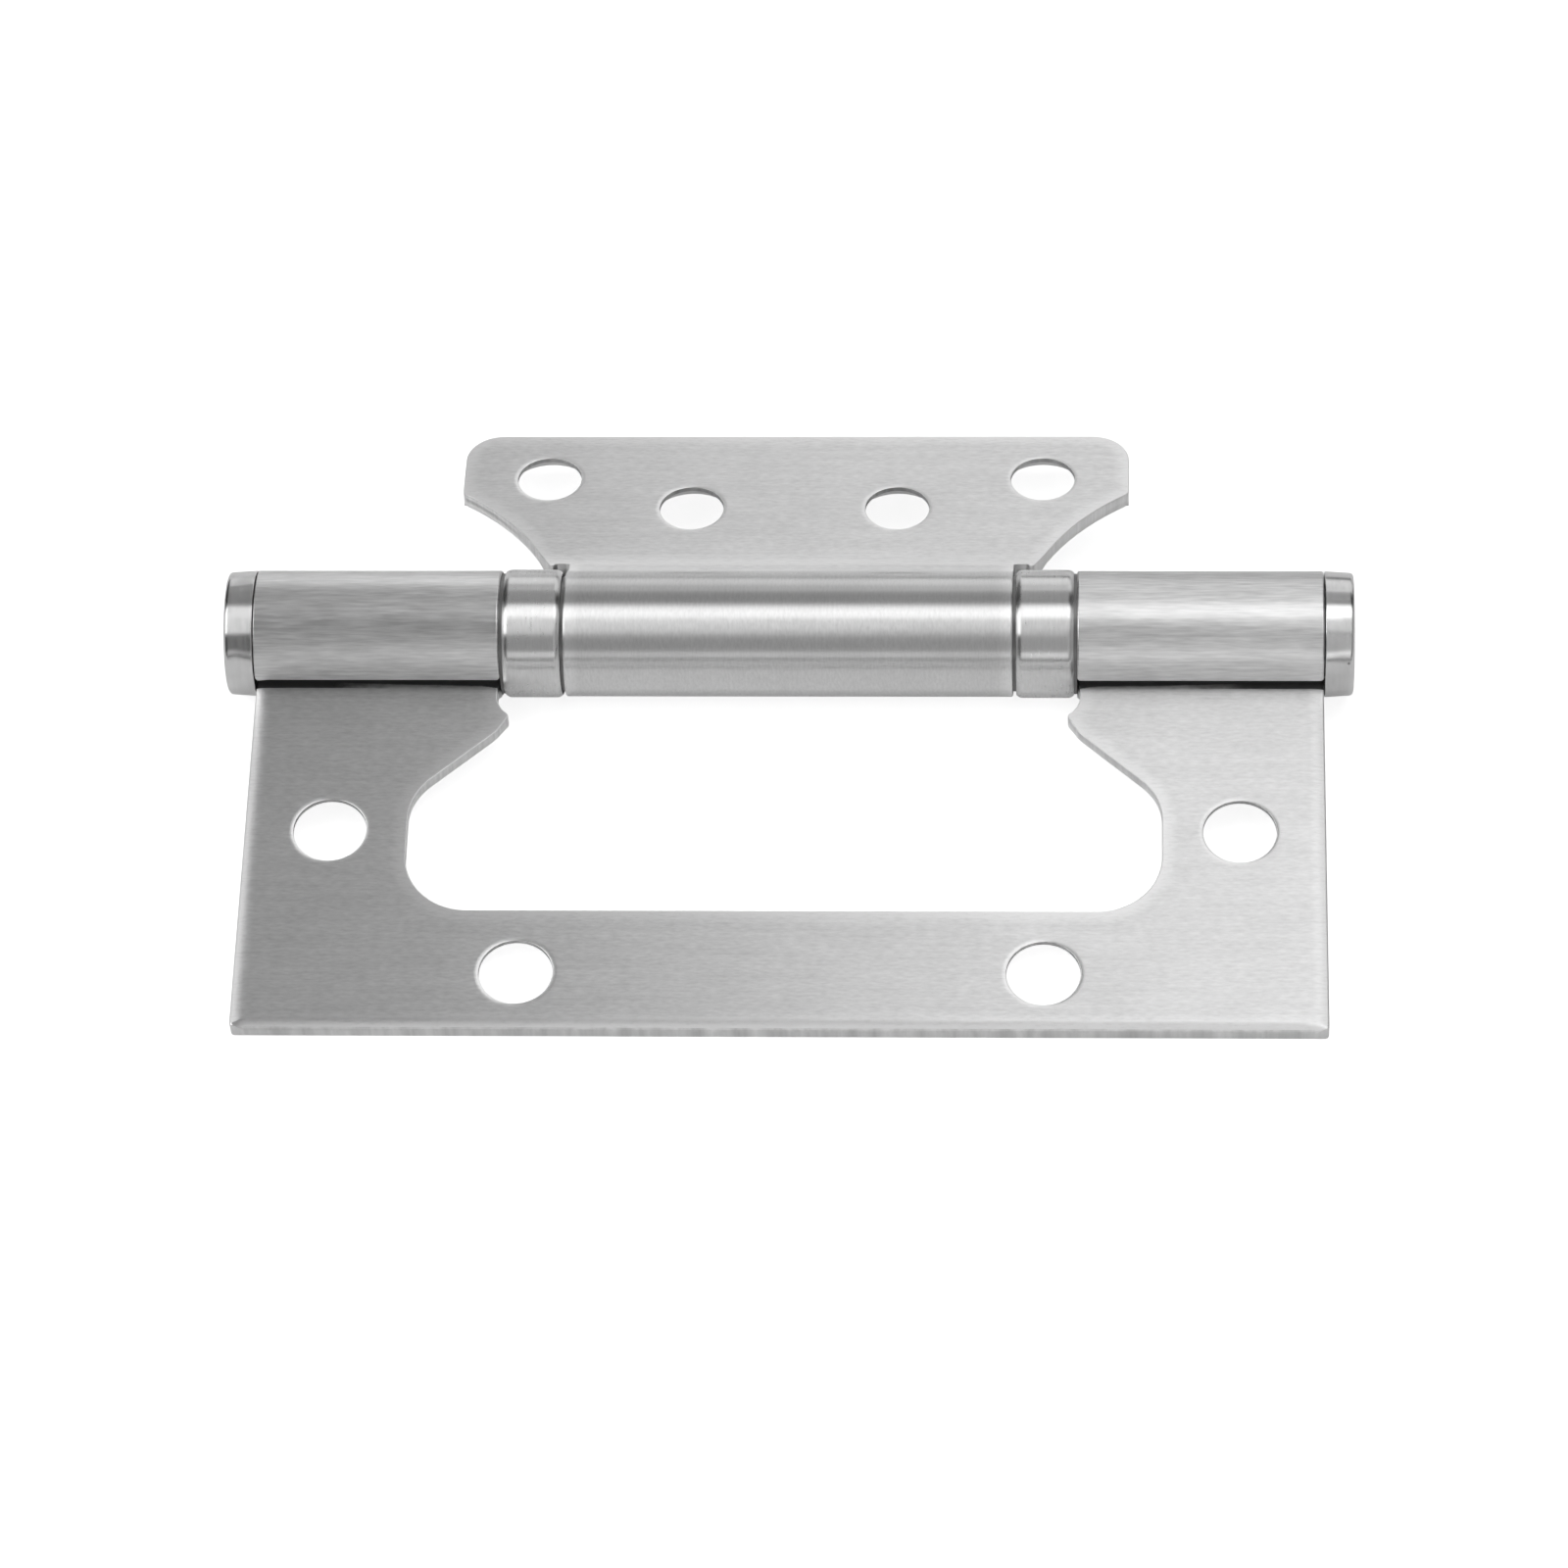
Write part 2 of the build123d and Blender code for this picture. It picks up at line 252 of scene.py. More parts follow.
def droop(scene):
    """Angle by which the large leaf slopes down to its front edge, in radians."""
    sheet, outer, turned = scene.hinge_sheet, scene.hinge_outer, scene.hinge_turned
    low = sheet.offset + sheet.sheet / 2
    return math.asin(turned.ring_radius / math.hypot(outer.reach, low)) - math.atan2(low, outer.reach)


# Outlines of the flat blanks, as points (along the pin, along the sheet)


def rounded(points, radii, step):
    """Closed outline with rounded corners, its straight runs cut where the sheet is bent."""
    out = []
    count = len(points)
    for k in range(count):
        p, a, b = (np.array(points[(k + i) % count], float) for i in (0, -1, 1))
        u, w = (a - p) / np.linalg.norm(a - p), (b - p) / np.linalg.norm(b - p)
        half = math.acos(max(-1.0, min(1.0, float(u @ w)))) / 2
        if radii[k] <= 0 or half > 1.5:
            out.append(p)
            continue
        reach = radii[k] / math.tan(half)
        centre = p + (u + w) / np.linalg.norm(u + w) * radii[k] / math.sin(half)
        start, end = p + u * reach, p + w * reach
        first = math.atan2(*(start - centre)[::-1])
        sweep = math.remainder(math.atan2(*(end - centre)[::-1]) - first, 2 * math.pi)
        pieces = max(4, int(abs(sweep) * 12))
        for i in range(pieces + 1):
            angle = first + sweep * i / pieces
            out.append(centre + radii[k] * np.array([math.cos(angle), math.sin(angle)]))
    return cut_runs(out, step)


def cut_runs(points, step):
    """Cut long runs: at multiples of the step where the sheet bends, and about every millimetre elsewhere."""
    out = []
    for k, p in enumerate(points):
        q = points[(k + 1) % len(points)]
        out.append(tuple(p))
        run = q - p
        if np.linalg.norm(run) < 0.1 * MM:
            continue
        if abs(run[1]) > 1e-9 and min(p[1], q[1]) < 0:
            low, high = sorted((p[1], q[1]))
            marks = [i * step for i in range(math.ceil(low / step), min(0, math.floor(high / step)) + 1)]
            places = [(m - p[1]) / run[1] for m in marks]
            if high > 0:
                pieces = int(high / MM) + 1
                places += [(high * i / pieces - p[1]) / run[1] for i in range(1, pieces)]
        else:
            pieces = int(np.linalg.norm(run) / MM) + 1
            places = [i / pieces for i in range(1, pieces)]
        for f in sorted(places):
            if 1e-6 < f < 1 - 1e-6:
                out.append(tuple(p + run * f))
    return np.array(out)


def circle(x, s, radius, pieces=72):
    """Round hole, clockwise, as points."""
    angles = -np.arange(pieces) * 2 * math.pi / pieces
    return np.stack([x + radius * np.cos(angles), s + radius * np.sin(angles)], 1)


def outline_normals(points):
    """Outward normal and mitre of each point of a counter-clockwise outline."""
    back, ahead = np.roll(points, 1, 0), np.roll(points, -1, 0)

    def side(a, b):
        d = b - a
        d = d / np.linalg.norm(d, axis=1, keepdims=True)
        return np.stack([d[:, 1], -d[:, 0]], 1)

    first, second = side(back, points), side(points, ahead)
    mean = first + second
    mean /= np.linalg.norm(mean, axis=1, keepdims=True)
    mitre = 1.0 / np.clip((mean * first).sum(1), 0.5, 1.0)
    return mean, mitre


def soft_edge(distance, width, depth):
    """Drop, outward share and upward share of a quarter of an ellipse, at a distance from the edge."""
    share = np.clip(1 - distance / width, 0.0, 1.0)
    rise = np.sqrt(1 - share**2)
    size = np.hypot(share / width, rise / depth)
    return depth * (1 - rise), share / width / size, rise / depth / size


def edge_rows(reach, sizes, side, sheet):
    """Rows (inset, height in the sheet, outward and upward share) of one edge, from the face to the wall."""
    rows = []
    for angle in np.linspace(math.pi / 2, 0.0, ARC_POINTS + 1):
        inset = reach * (1 - math.cos(angle))
        drop, out, up = soft_edge(inset, sizes[:, 0], sizes[:, 1])
        rows.append((inset, side * (sheet / 2 - drop), out, side * up))
    return rows


def edge_profile(settings, seen, seen_sizes, hidden_sizes):
    """Rows of the outline's edge from the upper face round to the lower. seen is the seen face, 1 or -1."""
    first = edge_rows(np.full(len(seen_sizes), RING_INSET), seen_sizes, seen, settings.sheet)
    second = edge_rows(np.maximum(hidden_sizes[:, 0], RING_INSET), hidden_sizes, -seen, settings.sheet)
    return first + second[::-1] if seen > 0 else second + first[::-1]


def hole_profile(settings, seen):
    """Rows of a screw hole's wall: soft edge on the seen side, land, countersink to the other side."""
    half = settings.sheet / 2
    slope = math.radians(settings.countersink / 2)
    out, up = math.cos(slope), -math.sin(slope)
    mouth = (settings.sheet - settings.hole_land) * math.tan(slope)
    tiny = 0.03 * MM
    rows = []
    for inset in settings.hole_width * (1 - np.cos(np.linspace(math.pi / 2, 0.0, ARC_POINTS + 1))):
        drop, outward, upward = soft_edge(inset, settings.hole_width, settings.hole_depth)
        rows.append((inset, half - drop, outward, upward))
    rows.append((0.0, half - settings.hole_land + tiny, 1.0, 0.0))
    rows.append((tiny * math.tan(slope), half - settings.hole_land - tiny, out, up))
    rows.append((mouth - tiny * math.tan(slope), tiny - half, out, up))
    rows.append((mouth + tiny, -half, 0.0, -1.0))
    return rows if seen > 0 else [(i, -h, o, -u) for i, h, o, u in rows[::-1]]


def edge_sizes(loop, settings, ribbon, seen, worn, front, recess):
    """Width and depth of the edge at each point of an outline, on the seen and on the hidden face.

    worn marks the outer edges, front the front one, and recess says how far the wall falls back. The
    knuckle's outside is always the upper face.
    """
    small = np.full(2, settings.hidden_edge)
    flat = np.full((len(loop), 2), settings.cut_edge)
    flat[worn] = settings.rolled_width, settings.rolled_depth
    flat[front] = settings.rolled_width * FRONT_WIDTH, settings.front_depth
    fallen = recess[:, None] * (np.array([settings.recess, settings.sheet * FALLEN_DEPTH]) - small)
    knuckle = np.where(loop[:, :1] < -49.5 * MM, LEFT_END_EDGE, np.full(2, settings.knuckle_edge))
    change = [-ribbon.foot_length - 0.3 * MM, -ribbon.foot_length + 0.5 * MM]
    bent = np.interp(loop[:, 1], change, [1.0, 0.0])[:, None]
    first = flat * (1 - bent) + (knuckle if seen > 0 else small) * bent
    second = (small + fallen) * (1 - bent) + (small if seen > 0 else knuckle) * bent
    return first, second


def rolled_points(loop, settings):
    """Points on the soft band inside an outline: place, distance, direction and nearest outline point."""
    normal, _ = outline_normals(loop)
    ahead = np.roll(loop, -1, 0) - loop
    found = []
    for depth in np.linspace(RING_INSET, settings.rolled_width, BAND_ROWS + 1)[1:]:
        for p in loop - normal * depth:
            along = np.clip(((p - loop) * ahead).sum(1) / (ahead**2).sum(1), 0.0, 1.0)
            away = p - (loop + ahead * along[:, None])
            gap = np.linalg.norm(away, axis=1)
            near = int(gap.argmin())
            if gap[near] > depth * 0.985:
                if found and np.linalg.norm(p - found[-1][0]) < 0.05 * MM:
                    continue
                found.append((p, gap[near], away[near] / gap[near], near))
    return found


class Ribbon:
    """Middle line of a leaf's sheet, seen along the pin: flat, foot bend, then the roll."""

    def __init__(self, sheet, foot, roll_end):
        self.offset = sheet.offset
        self.roll = sheet.knuckle - sheet.sheet / 2
        self.bend = foot + sheet.sheet / 2
        self.start = math.sqrt((self.roll + self.bend) ** 2 - (self.offset + self.bend) ** 2)
        self.join = math.atan2(self.offset + self.bend, self.start)
        self.foot_length = self.bend * (math.pi / 2 - self.join)
        self.total = self.foot_length + self.roll * (2 * math.pi - math.radians(roll_end) - self.join)

    def at(self, s):
        """Places, directions and normals on the line at distances s from where the flat starts."""
        s = np.asarray(s, float)
        place = np.stack([self.start + s, np.full_like(s, self.offset)], 1)
        along = np.tile([1.0, 0.0], (len(s), 1))
        foot = (s < 0) & (s >= -self.foot_length)
        angle = 1.5 * math.pi + s[foot] / self.bend
        ray = np.stack([np.cos(angle), np.sin(angle)], 1)
        place[foot] = [self.start, self.offset + self.bend] + self.bend * ray
        along[foot] = np.stack([-ray[:, 1], ray[:, 0]], 1)
        roll = s < -self.foot_length
        angle = self.join + (-s[roll] - self.foot_length) / self.roll
        ray = np.stack([np.cos(angle), np.sin(angle)], 1)
        place[roll] = self.roll * ray
        along[roll] = np.stack([ray[:, 1], -ray[:, 0]], 1)
        return place, along, np.stack([-along[:, 1], along[:, 0]], 1)


def mesh_object(name, vertices, faces, normals, ribbon_uv, painted_shade, material, wear_and_sheen=None):
    """Mesh object at the origin with exact normals, the grain map, the painted shade and the worn edges,
    which carry a painted highlight.
    """
    mesh = bpy.data.meshes.new(name)
    mesh.from_pydata([tuple(v) for v in vertices], [], faces)
    mesh.polygons.foreach_set("use_smooth", [True] * len(mesh.polygons))
    layer = mesh.uv_layers.new(name=RIBBON)
    corners = np.empty(len(mesh.loops), int)
    mesh.loops.foreach_get("vertex_index", corners)
    layer.data.foreach_set("uv", ribbon_uv[corners].ravel())
    mesh.attributes.new("painted_shade", "FLOAT", "POINT").data.foreach_set("value", painted_shade)
    wear_and_sheen = np.zeros(len(vertices)) if wear_and_sheen is None else wear_and_sheen
    mesh.attributes.new("wear_and_sheen", "FLOAT", "POINT").data.foreach_set("value", wear_and_sheen)
    mesh.normals_split_custom_set_from_vertices([tuple(n) for n in normals])
    mesh.materials.append(material)
    mesh.update()
    obj = bpy.data.objects.new(name, mesh)
    bpy.context.scene.collection.objects.link(obj)
    return obj


def inside(points, loop):
    """Which points lie inside a closed outline."""
    x, y = points[:, 0], points[:, 1]
    result = np.zeros(len(points), bool)
    for (ax, ay), (bx, by) in zip(loop, np.roll(loop, -1, 0)):
        if ay == by:
            continue
        cross = (ay > y) != (by > y)
        result ^= cross & (x < (bx - ax) * (y - ay) / (by - ay) + ax)
    return result


def fill_face(name, flat, rings, extra, side):
    """Triangles over one face of a blank, inside its outline and outside its holes.

    rings and extra are the places in flat of the outline's, the holes' and more points. side is 1 for the
    upper face and -1 for the lower.
    """
    index = np.concatenate([*rings, extra])
    points = flat[index] / MM
    edges, loops, base = [], [], 0
    for ring in rings:
        n = len(ring)
        edges += [(base + i, base + (i + 1) % n) for i in range(n)]
        loops.append(points[base : base + n])
        base += n
    edges += cross_lines(points)
    verts, _, tris, origin, _, _ = delaunay_2d_cdt([Vector(p) for p in points], edges, [], 0, 1e-7)
    if not all(origin):
        raise RuntimeError(f"{name}: the outline crosses itself")
    verts = np.array([tuple(v) for v in verts])
    tris = np.array([t for t in tris if len(t) == 3])
    middle = verts[tris].mean(1)
    keep = inside(middle, loops[0])
    for hole in loops[1:]:
        keep &= ~inside(middle, hole)
    back = index[[o[0] for o in origin]]
    faces = []
    for tri in back[tris[keep]]:
        face = tuple(int(v) for v in tri)
        a, b, c = flat[tri]
        if ((b - a)[0] * (c - a)[1] - (b - a)[1] * (c - a)[0] > 0) != (side > 0):
            face = face[::-1]
        faces.append(face)
    return faces


def leaf_mesh(name, settings, ribbon, loops, marks, seen, turn, slot, material):
    """Leaf from its flat blank: shaped edges all round, then bent along the ribbon and set in the hinge.

    seen is the face, 1 or -1, with the soft edges. slot says if it gets painted shade under the roll's end.
    """
    seen_sizes, hidden_sizes = edge_sizes(loops[0], settings, ribbon, seen, *marks)
    flat, lift, flat_normal, up_normal, wear_and_sheen, painted_wall_shade, faces = [], [], [], [], [], [], []
    top_rings, bottom_rings = [], []
    start = 0
    for loop in loops:
        if loop is loops[0]:
            rows = edge_profile(settings, seen, seen_sizes, hidden_sizes)
        else:
            rows = hole_profile(settings, seen)
        normal, mitre = outline_normals(loop)
        count = len(loop)
        for row, (inset, height, out, up) in enumerate(rows):
            flat.append(loop - normal * (inset * mitre)[:, None])
            lift.append(np.broadcast_to(height, count))
            flat_normal.append(normal * np.broadcast_to(out, count)[:, None])
            up_normal.append(np.broadcast_to(up, count))
            on_face = np.broadcast_to(up * seen > 0.3, count)
            reach = settings.rolled_width if loop is loops[0] else settings.hole_width
            # Band along the seen edges, lightened for wear and as a painted highlight
            wear_and_sheen.append(on_face * np.clip(1 - inset / reach, 0.0, 1.0))
            # Painted shade on the walls of the holes and, a little less, on the wall of the front edge
            wall_shade_share = FRONT_WALL_SHADE * marks[1] if loop is loops[0] else np.ones(count)
            painted_wall_shade.append(WALL_SHADE * wall_shade_share * np.broadcast_to(np.abs(up) < 0.5, count))
            if row:
                a, b = start + (row - 1) * count, start + row * count
                faces += [(a + i, b + i, b + (i + 1) % count, a + (i + 1) % count) for i in range(count)]
        top_rings.append(np.arange(start, start + count))
        bottom_rings.append(np.arange(start + (len(rows) - 1) * count, start + len(rows) * count))
        start += len(rows) * count
    band = rolled_points(loops[0], settings)
    size = seen_sizes[[near for _, _, _, near in band]]
    drop, out, up = soft_edge(np.array([gap for _, gap, _, _ in band]), size[:, 0], size[:, 1])
    flat.append(np.array([p for p, _, _, _ in band]))
    lift.append(seen * (settings.sheet / 2 - drop))
    flat_normal.append(-np.array([away for _, _, away, _ in band]) * out[:, None])
    up_normal.append(seen * up)
    wear_and_sheen.append(np.clip(1 - np.array([gap for _, gap, _, _ in band]) / settings.rolled_width, 0.0, 1.0))
    painted_wall_shade.append(np.zeros(len(band)))
    flat, lift = np.concatenate(flat), np.concatenate(lift)
    flat_normal, up_normal = np.concatenate(flat_normal), np.concatenate(up_normal)
    extra, none = np.arange(start, start + len(band)), np.empty(0, int)
    faces += fill_face(name, flat, top_rings, extra if seen > 0 else none, 1)
    faces += fill_face(name, flat, bottom_rings, extra if seen < 0 else none, -1)
    place, along, normal = ribbon.at(flat[:, 1])
    section = place + normal * lift[:, None]
    tilt = along * flat_normal[:, 1:2] + normal * up_normal[:, None]
    vertices = np.column_stack([flat[:, 0], section])
    normals = np.column_stack([flat_normal[:, 0], tilt])
    spin = np.array(Matrix.Rotation(turn, 3, "X"))
    depth, height = axis_place()
    vertices = vertices @ spin.T + [0.0, depth, height]
    uv = np.column_stack([flat[:, 1], flat[:, 0]]) / MM
    # Painted shade on the knuckles' end faces, which face the gaps beside the rings and caps
    end_face = (np.abs(flat_normal[:, 0]) > 0.99) & (flat[:, 1] < -0.3 * MM) & (flat[:, 0] > UNSHADED_END)
    painted_shade = np.maximum(np.concatenate(painted_wall_shade), end_face)
    # Painted shade on the sheet under the roll's end, where the slot lies in shadow
    if slot:
        under_roll = np.interp(flat[:, 1] / MM, *SLOT_SHADE)
        painted_shade = np.maximum(painted_shade, under_roll * (lift * seen > 0))
    return mesh_object(name, vertices, faces, normals @ spin.T, uv, painted_shade, material, np.concatenate(wear_and_sheen))


def cross_lines(points):
    """Edges that tie the two sides of a rolled tongue together, step by step. points are in millimetres."""
    rows = {}
    for i, (x, s) in enumerate(points):
        if s < 1e-6:
            rows.setdefault(round(s, 4), []).append((x, i))
    edges = []
    for s, row in rows.items():
        row.sort()
        middle_half = TIE_WIDE if s > NOTCH_PLACE else TIE_NARROW
        for (x0, i), (x1, j) in zip(row, row[1:]):
            same_tongue = x0 * x1 > 0 or max(abs(x0), abs(x1)) < middle_half
            if same_tongue and x1 - x0 > SHORTEST_TIE:
                edges.append((i, j))
    return edges


def whole_loop(right, radii, step):
    """Whole outline from its right half and the radii of its corners."""
    left = [(-x, s) for x, s in reversed(right)]
    return rounded(right + left, radii + radii[::-1], step)


def with_holes(loop, holes, start, radius):
    """Outline and its pairs of holes, given by their places along the pin and from the pin axis."""
    return [loop] + [circle(side * x, y - start, radius) for x, y in holes for side in (-1, 1)]


def outer_loops(scene, ribbon):
    """Outline and holes of the large leaf's blank, and the marks of its edges."""
    sheet, o = scene.hinge_sheet, scene.hinge_outer
    tip = o.knuckle_start - o.ear_step
    bend = (tip + o.ear_back, o.ear_length + o.ear_back * math.tan(math.radians(o.ear_slope)))
    shoulder = bend[1] + (o.window_half - bend[0]) * math.tan(math.radians(o.slope))
    window, front = o.window_reach - ribbon.start, o.reach - ribbon.start
    deep = o.knuckle_start + o.notch_depth
    sweep = math.acos(1 - (deep - tip) / o.notch)
    low = o.ear_length - o.notch * math.sin(sweep)
    angles = np.linspace(NOTCH_SHARE * sweep, 0.0, NOTCH_POINTS)
    notch = [(deep - o.notch * (1 - math.cos(a)), low + o.notch * math.sin(a)) for a in angles]
    right = [(o.window_half, window), (o.window_half, shoulder), bend, (tip, o.ear_length), *notch]
    right += [(deep, -sheet.step), (o.knuckle_start, -6 * sheet.step), (o.knuckle_start, -ribbon.total)]
    right += [(o.half_length, -ribbon.total), (o.half_length, front)]
    radii = [o.window_round, o.window_round, o.ear_round, SMALL_ROUND]
    radii += [0.0] * (NOTCH_POINTS + 2) + [SMALL_ROUND] * 3
    loop = whole_loop(right, radii, sheet.step)
    rear_x = o.window_half + o.rear_share * (o.half_length - o.window_half)
    front_y = o.window_reach + o.front_share * (o.reach - o.window_reach)
    loops = with_holes(loop, [(rear_x, o.rear_hole), (o.front_hole, front_y)], ribbon.start, o.hole)
    ends = np.abs(loop[:, 0]) > o.half_length - EDGE_REACH
    at_front = (loop[:, 1] > front - EDGE_REACH) & ~ends
    recess = np.interp(loop[:, 1] / MM, *OUTER_RECESS) * ~(ends | at_front)
    return loops, (ends, at_front, recess)


def inner_loops(scene, ribbon):
    """Outline and holes of the small leaf's blank, and the marks of its edges."""
    sheet, n = scene.hinge_sheet, scene.hinge_inner
    root = np.array([n.knuckle_half + n.root_step, -n.root_drop])
    tip = np.array([n.half_width, n.tip - ribbon.start])
    chord = tip - root
    across = np.array([-chord[1], chord[0]]) / np.linalg.norm(chord)
    bow = n.hollow * across
    hollow = [root + chord * f + bow * 4 * f * (1 - f) for f in np.linspace(0, 1, HOLLOW_POINTS)]
    right = [(n.knuckle_half, -ribbon.total), (n.knuckle_half, -n.notch_drop)]
    right += [(root[0] - EDGE_REACH, -n.notch_drop)]
    right += [tuple(p) for p in hollow] + [(n.half_width, n.reach - ribbon.start)]
    radii = [SMALL_ROUND, SMALL_ROUND, n.notch_round, SMALL_ROUND]
    radii += [0.0] * (HOLLOW_POINTS - 2) + [n.tip_round, n.corner]
    loop = whole_loop(right, radii, sheet.step)
    holes = [(n.half_width - n.far_inset, n.reach - n.far_setback), (n.near_hole, n.reach - n.near_setback)]
    none = np.zeros(len(loop), bool)
    past_root = (np.abs(loop[:, 0]) - root[0]) / MM
    wing = (loop[:, 1] < tip[1] + 0.3 * MM) & (past_root > -0.3)
    recess = np.interp(past_root, *INNER_RECESS) * wing
    return with_holes(loop, holes, ribbon.start, n.hole), (none, none, recess)


# Materials


def new_material(name):
    """Material with nodes and nothing but its output."""
    old = bpy.data.materials.get(name)
    if old:
        bpy.data.materials.remove(old)
    material = bpy.data.materials.new(name)
    material.use_nodes = True
    tree = material.node_tree
    tree.nodes.clear()
    output = tree.nodes.new("ShaderNodeOutputMaterial")
    return material, tree, output


def node(tree, kind, links=(), sockets=(), **fields):
    """Add a node, set its fields and sockets, and link its inputs. links and sockets are pairs."""
    made = tree.nodes.new(kind)
    for key, value in fields.items():
        setattr(made, key, value)
    for socket, value in sockets:
        made.inputs[socket].default_value = value
    for socket, source in links:
        tree.links.new(source, made.inputs[socket])
    return made


def maths(tree, operation, *values):
    """Output of a maths node. The values are numbers or other nodes' outputs."""
    made = node(tree, "ShaderNodeMath", operation=operation)
    for socket, value in zip(made.inputs, values):
        if isinstance(value, (int, float)):
            socket.default_value = value
        else:
            tree.links.new(value, socket)
    return made.outputs[0]


def ranged(tree, value, before, after=(0.0, 1.0), curve="SMOOTHSTEP"):
    """Map a value from one range to another."""
    sockets = zip(("From Min", "From Max", "To Min", "To Max"), (*before, *after))
    made = node(tree, "ShaderNodeMapRange", [("Value", value)], sockets, interpolation_type=curve)
    return made.outputs["Result"]


def spread(tree, value, low, high):
    """Map a 0 to 1 value evenly to a range."""
    return ranged(tree, value, (0.0, 1.0), (low, high), "LINEAR")


def attribute(tree, name):
    """Output of a number kept on the mesh."""
    return node(tree, "ShaderNodeAttribute", attribute_name=name).outputs["Fac"]


def placed(tree, uv, across, along, shift):
    """Surface map stretched by a scale and moved by a shift, each given across and along the pin."""
    sockets = [("Scale", (across, along, 1.0)), ("Location", (*shift, 0.0))]
    return node(tree, "ShaderNodeMapping", [("Vector", uv)], sockets).outputs["Vector"]


def streaks(tree, uv, across, along, detail, seed):
    """Noise drawn out along the grain, in cycles per millimetre across the sheet and along the pin."""
    place = placed(tree, uv, across, along, (seed * 13.7, seed * 5.3))
    sockets = [("Scale", 1.0), ("Detail", detail), ("Roughness", 0.6)]
    return node(tree, "ShaderNodeTexNoise", [("Vector", place)], sockets).outputs["Fac"]


def weighted(tree, base, parts, start=None):
    """Base plus each noise's swing about its middle. parts are (0 to 1 value, half range)."""
    total = start
    shift = base - sum(swing for _, swing in parts)
    for value, swing in parts:
        total = maths(tree, "MULTIPLY_ADD", value, 2 * swing, shift if total is None else total)
    return total if start is None else maths(tree, "ADD", total, shift)


def with_painted_shade(tree, uv, colour):
    """Colour of the steel with painted black shade in its gaps, on its walls and under the roll, its edge a
    little ragged.
    """
    edge = weighted(tree, 0.0, [(streaks(tree, uv, 0.9, 0.5, 3.0, 31), 0.15)], attribute(tree, "painted_shade"))
    mask = ranged(tree, edge, (0.35, 0.75))
    dark = [(7, (*[PAINTED_SHADE_TONE] * 3, 1.0))]
    return node(tree, "ShaderNodeMix", [(0, mask), (6, colour)], dark, data_type="RGBA").outputs[2]


def speck_shade(tree, uv, size, share_of_pits, seed):
    """1 on clean steel, lower in small scattered pits. size is the spacing in millimetres."""
    place = placed(tree, uv, 1 / size, 1 / size, (seed * 3.1, seed * 7.7))
    links, sockets = [("Vector", place)], [("Scale", 1.0)]
    cells = node(tree, "ShaderNodeTexVoronoi", links, sockets, voronoi_dimensions="2D").outputs
    pit = ranged(tree, cells["Distance"], (0.05 / size, 0.2 / size), (1.0, 0.0))
    picked = maths(tree, "LESS_THAN", cells["Color"], share_of_pits)
    return spread(tree, maths(tree, "MULTIPLY", pit, picked), 1.0, 0.4)


def steel_shader(tree, uv, look):
    """Metal shader whose polish lines run along the pin, or round it if the look says so."""

    def lines(across, along, detail, seed):
        if look["round"]:
            across, along = along, across
        return streaks(tree, uv, across, along, detail, look["seed"] + seed)

    fine = lines(3.2, 0.05, 3.0, 0)
    short = lines(4.2, look["short"], 2.0, 1)
    band = lines(1.3, 0.08, 3.0, 2)
    cloud = streaks(tree, uv, 0.11, 0.07, 2.0, look["seed"] + 3)
    blotch = streaks(tree, uv, 0.32, 0.22, 3.0, look["seed"] + 4)
    parts = [(fine, "c_fine"), (short, "c_short"), (band, "c_band"), (blotch, "c_blotch")]
    even = weighted(tree, 1.0, [(value, look[key]) for value, key in parts])
    # Worn edges are lighter: partly wear, partly a painted highlight
    worn = maths(tree, "MULTIPLY_ADD", attribute(tree, "wear_and_sheen"), WEAR_AND_SHEEN_LIGHT, even)
    tone = maths(tree, "MULTIPLY", worn, speck_shade(tree, uv, *look["pits"], look["seed"]))
    colour = with_painted_shade(tree, uv, maths(tree, "MULTIPLY", tone, look["tone"]))
    bump = node(
        tree, "ShaderNodeBump", [("Height", fine)], [("Strength", look["lines"]), ("Distance", LINE_DEPTH)]
    )
    waves = node(
        tree,
        "ShaderNodeBump",
        [("Height", cloud), ("Normal", bump.outputs["Normal"])],
        [("Strength", look["waves"]), ("Distance", WAVE_DEPTH)],
    )
    tangent = node(tree, "ShaderNodeTangent", direction_type="UV_MAP", uv_map=RIBBON)
    rough = weighted(tree, look["rough"], [(short, look["r_short"]), (cloud, 0.03)])
    links = [("Base Color", colour), ("Roughness", rough), ("Normal", waves.outputs["Normal"])]
    links += [("Tangent", tangent.outputs["Tangent"])]
    sockets = [("Metallic", 1.0), ("Anisotropic", look["aniso"])]
    sockets += [("Anisotropic Rotation", 0.25 if look["round"] else 0.0)]
    return node(tree, "ShaderNodeBsdfPrincipled", links, sockets)


# Looks of the steel. tone: reflectance; lines, waves: bump; c_: swings of the tone; r_: swing of the
# roughness; short: cycles per millimetre along the short lines; pits: spacing in millimetres and share
BRUSHED = {
    "round": False, "seed": 1, "tone": 0.86, "lines": 0.35, "waves": 0.05, "rough": 0.41, "aniso": 0.92,
    "short": 1.0, "c_fine": 0.06, "c_short": 0.2, "c_band": 0.09, "c_blotch": 0.06, "r_short": 0.03,
    "pits": (6.0, 0.1),
}
DRAWN = {
    "round": False, "seed": 21, "tone": 0.74, "lines": 0.3, "waves": 0.02, "rough": 0.335,
    "aniso": 0.625, "short": 0.3, "c_fine": 0.12, "c_short": 0.34, "c_band": 0.04, "c_blotch": 0.04,
    "r_short": 0.04, "pits": (3.0, 0.0),
}
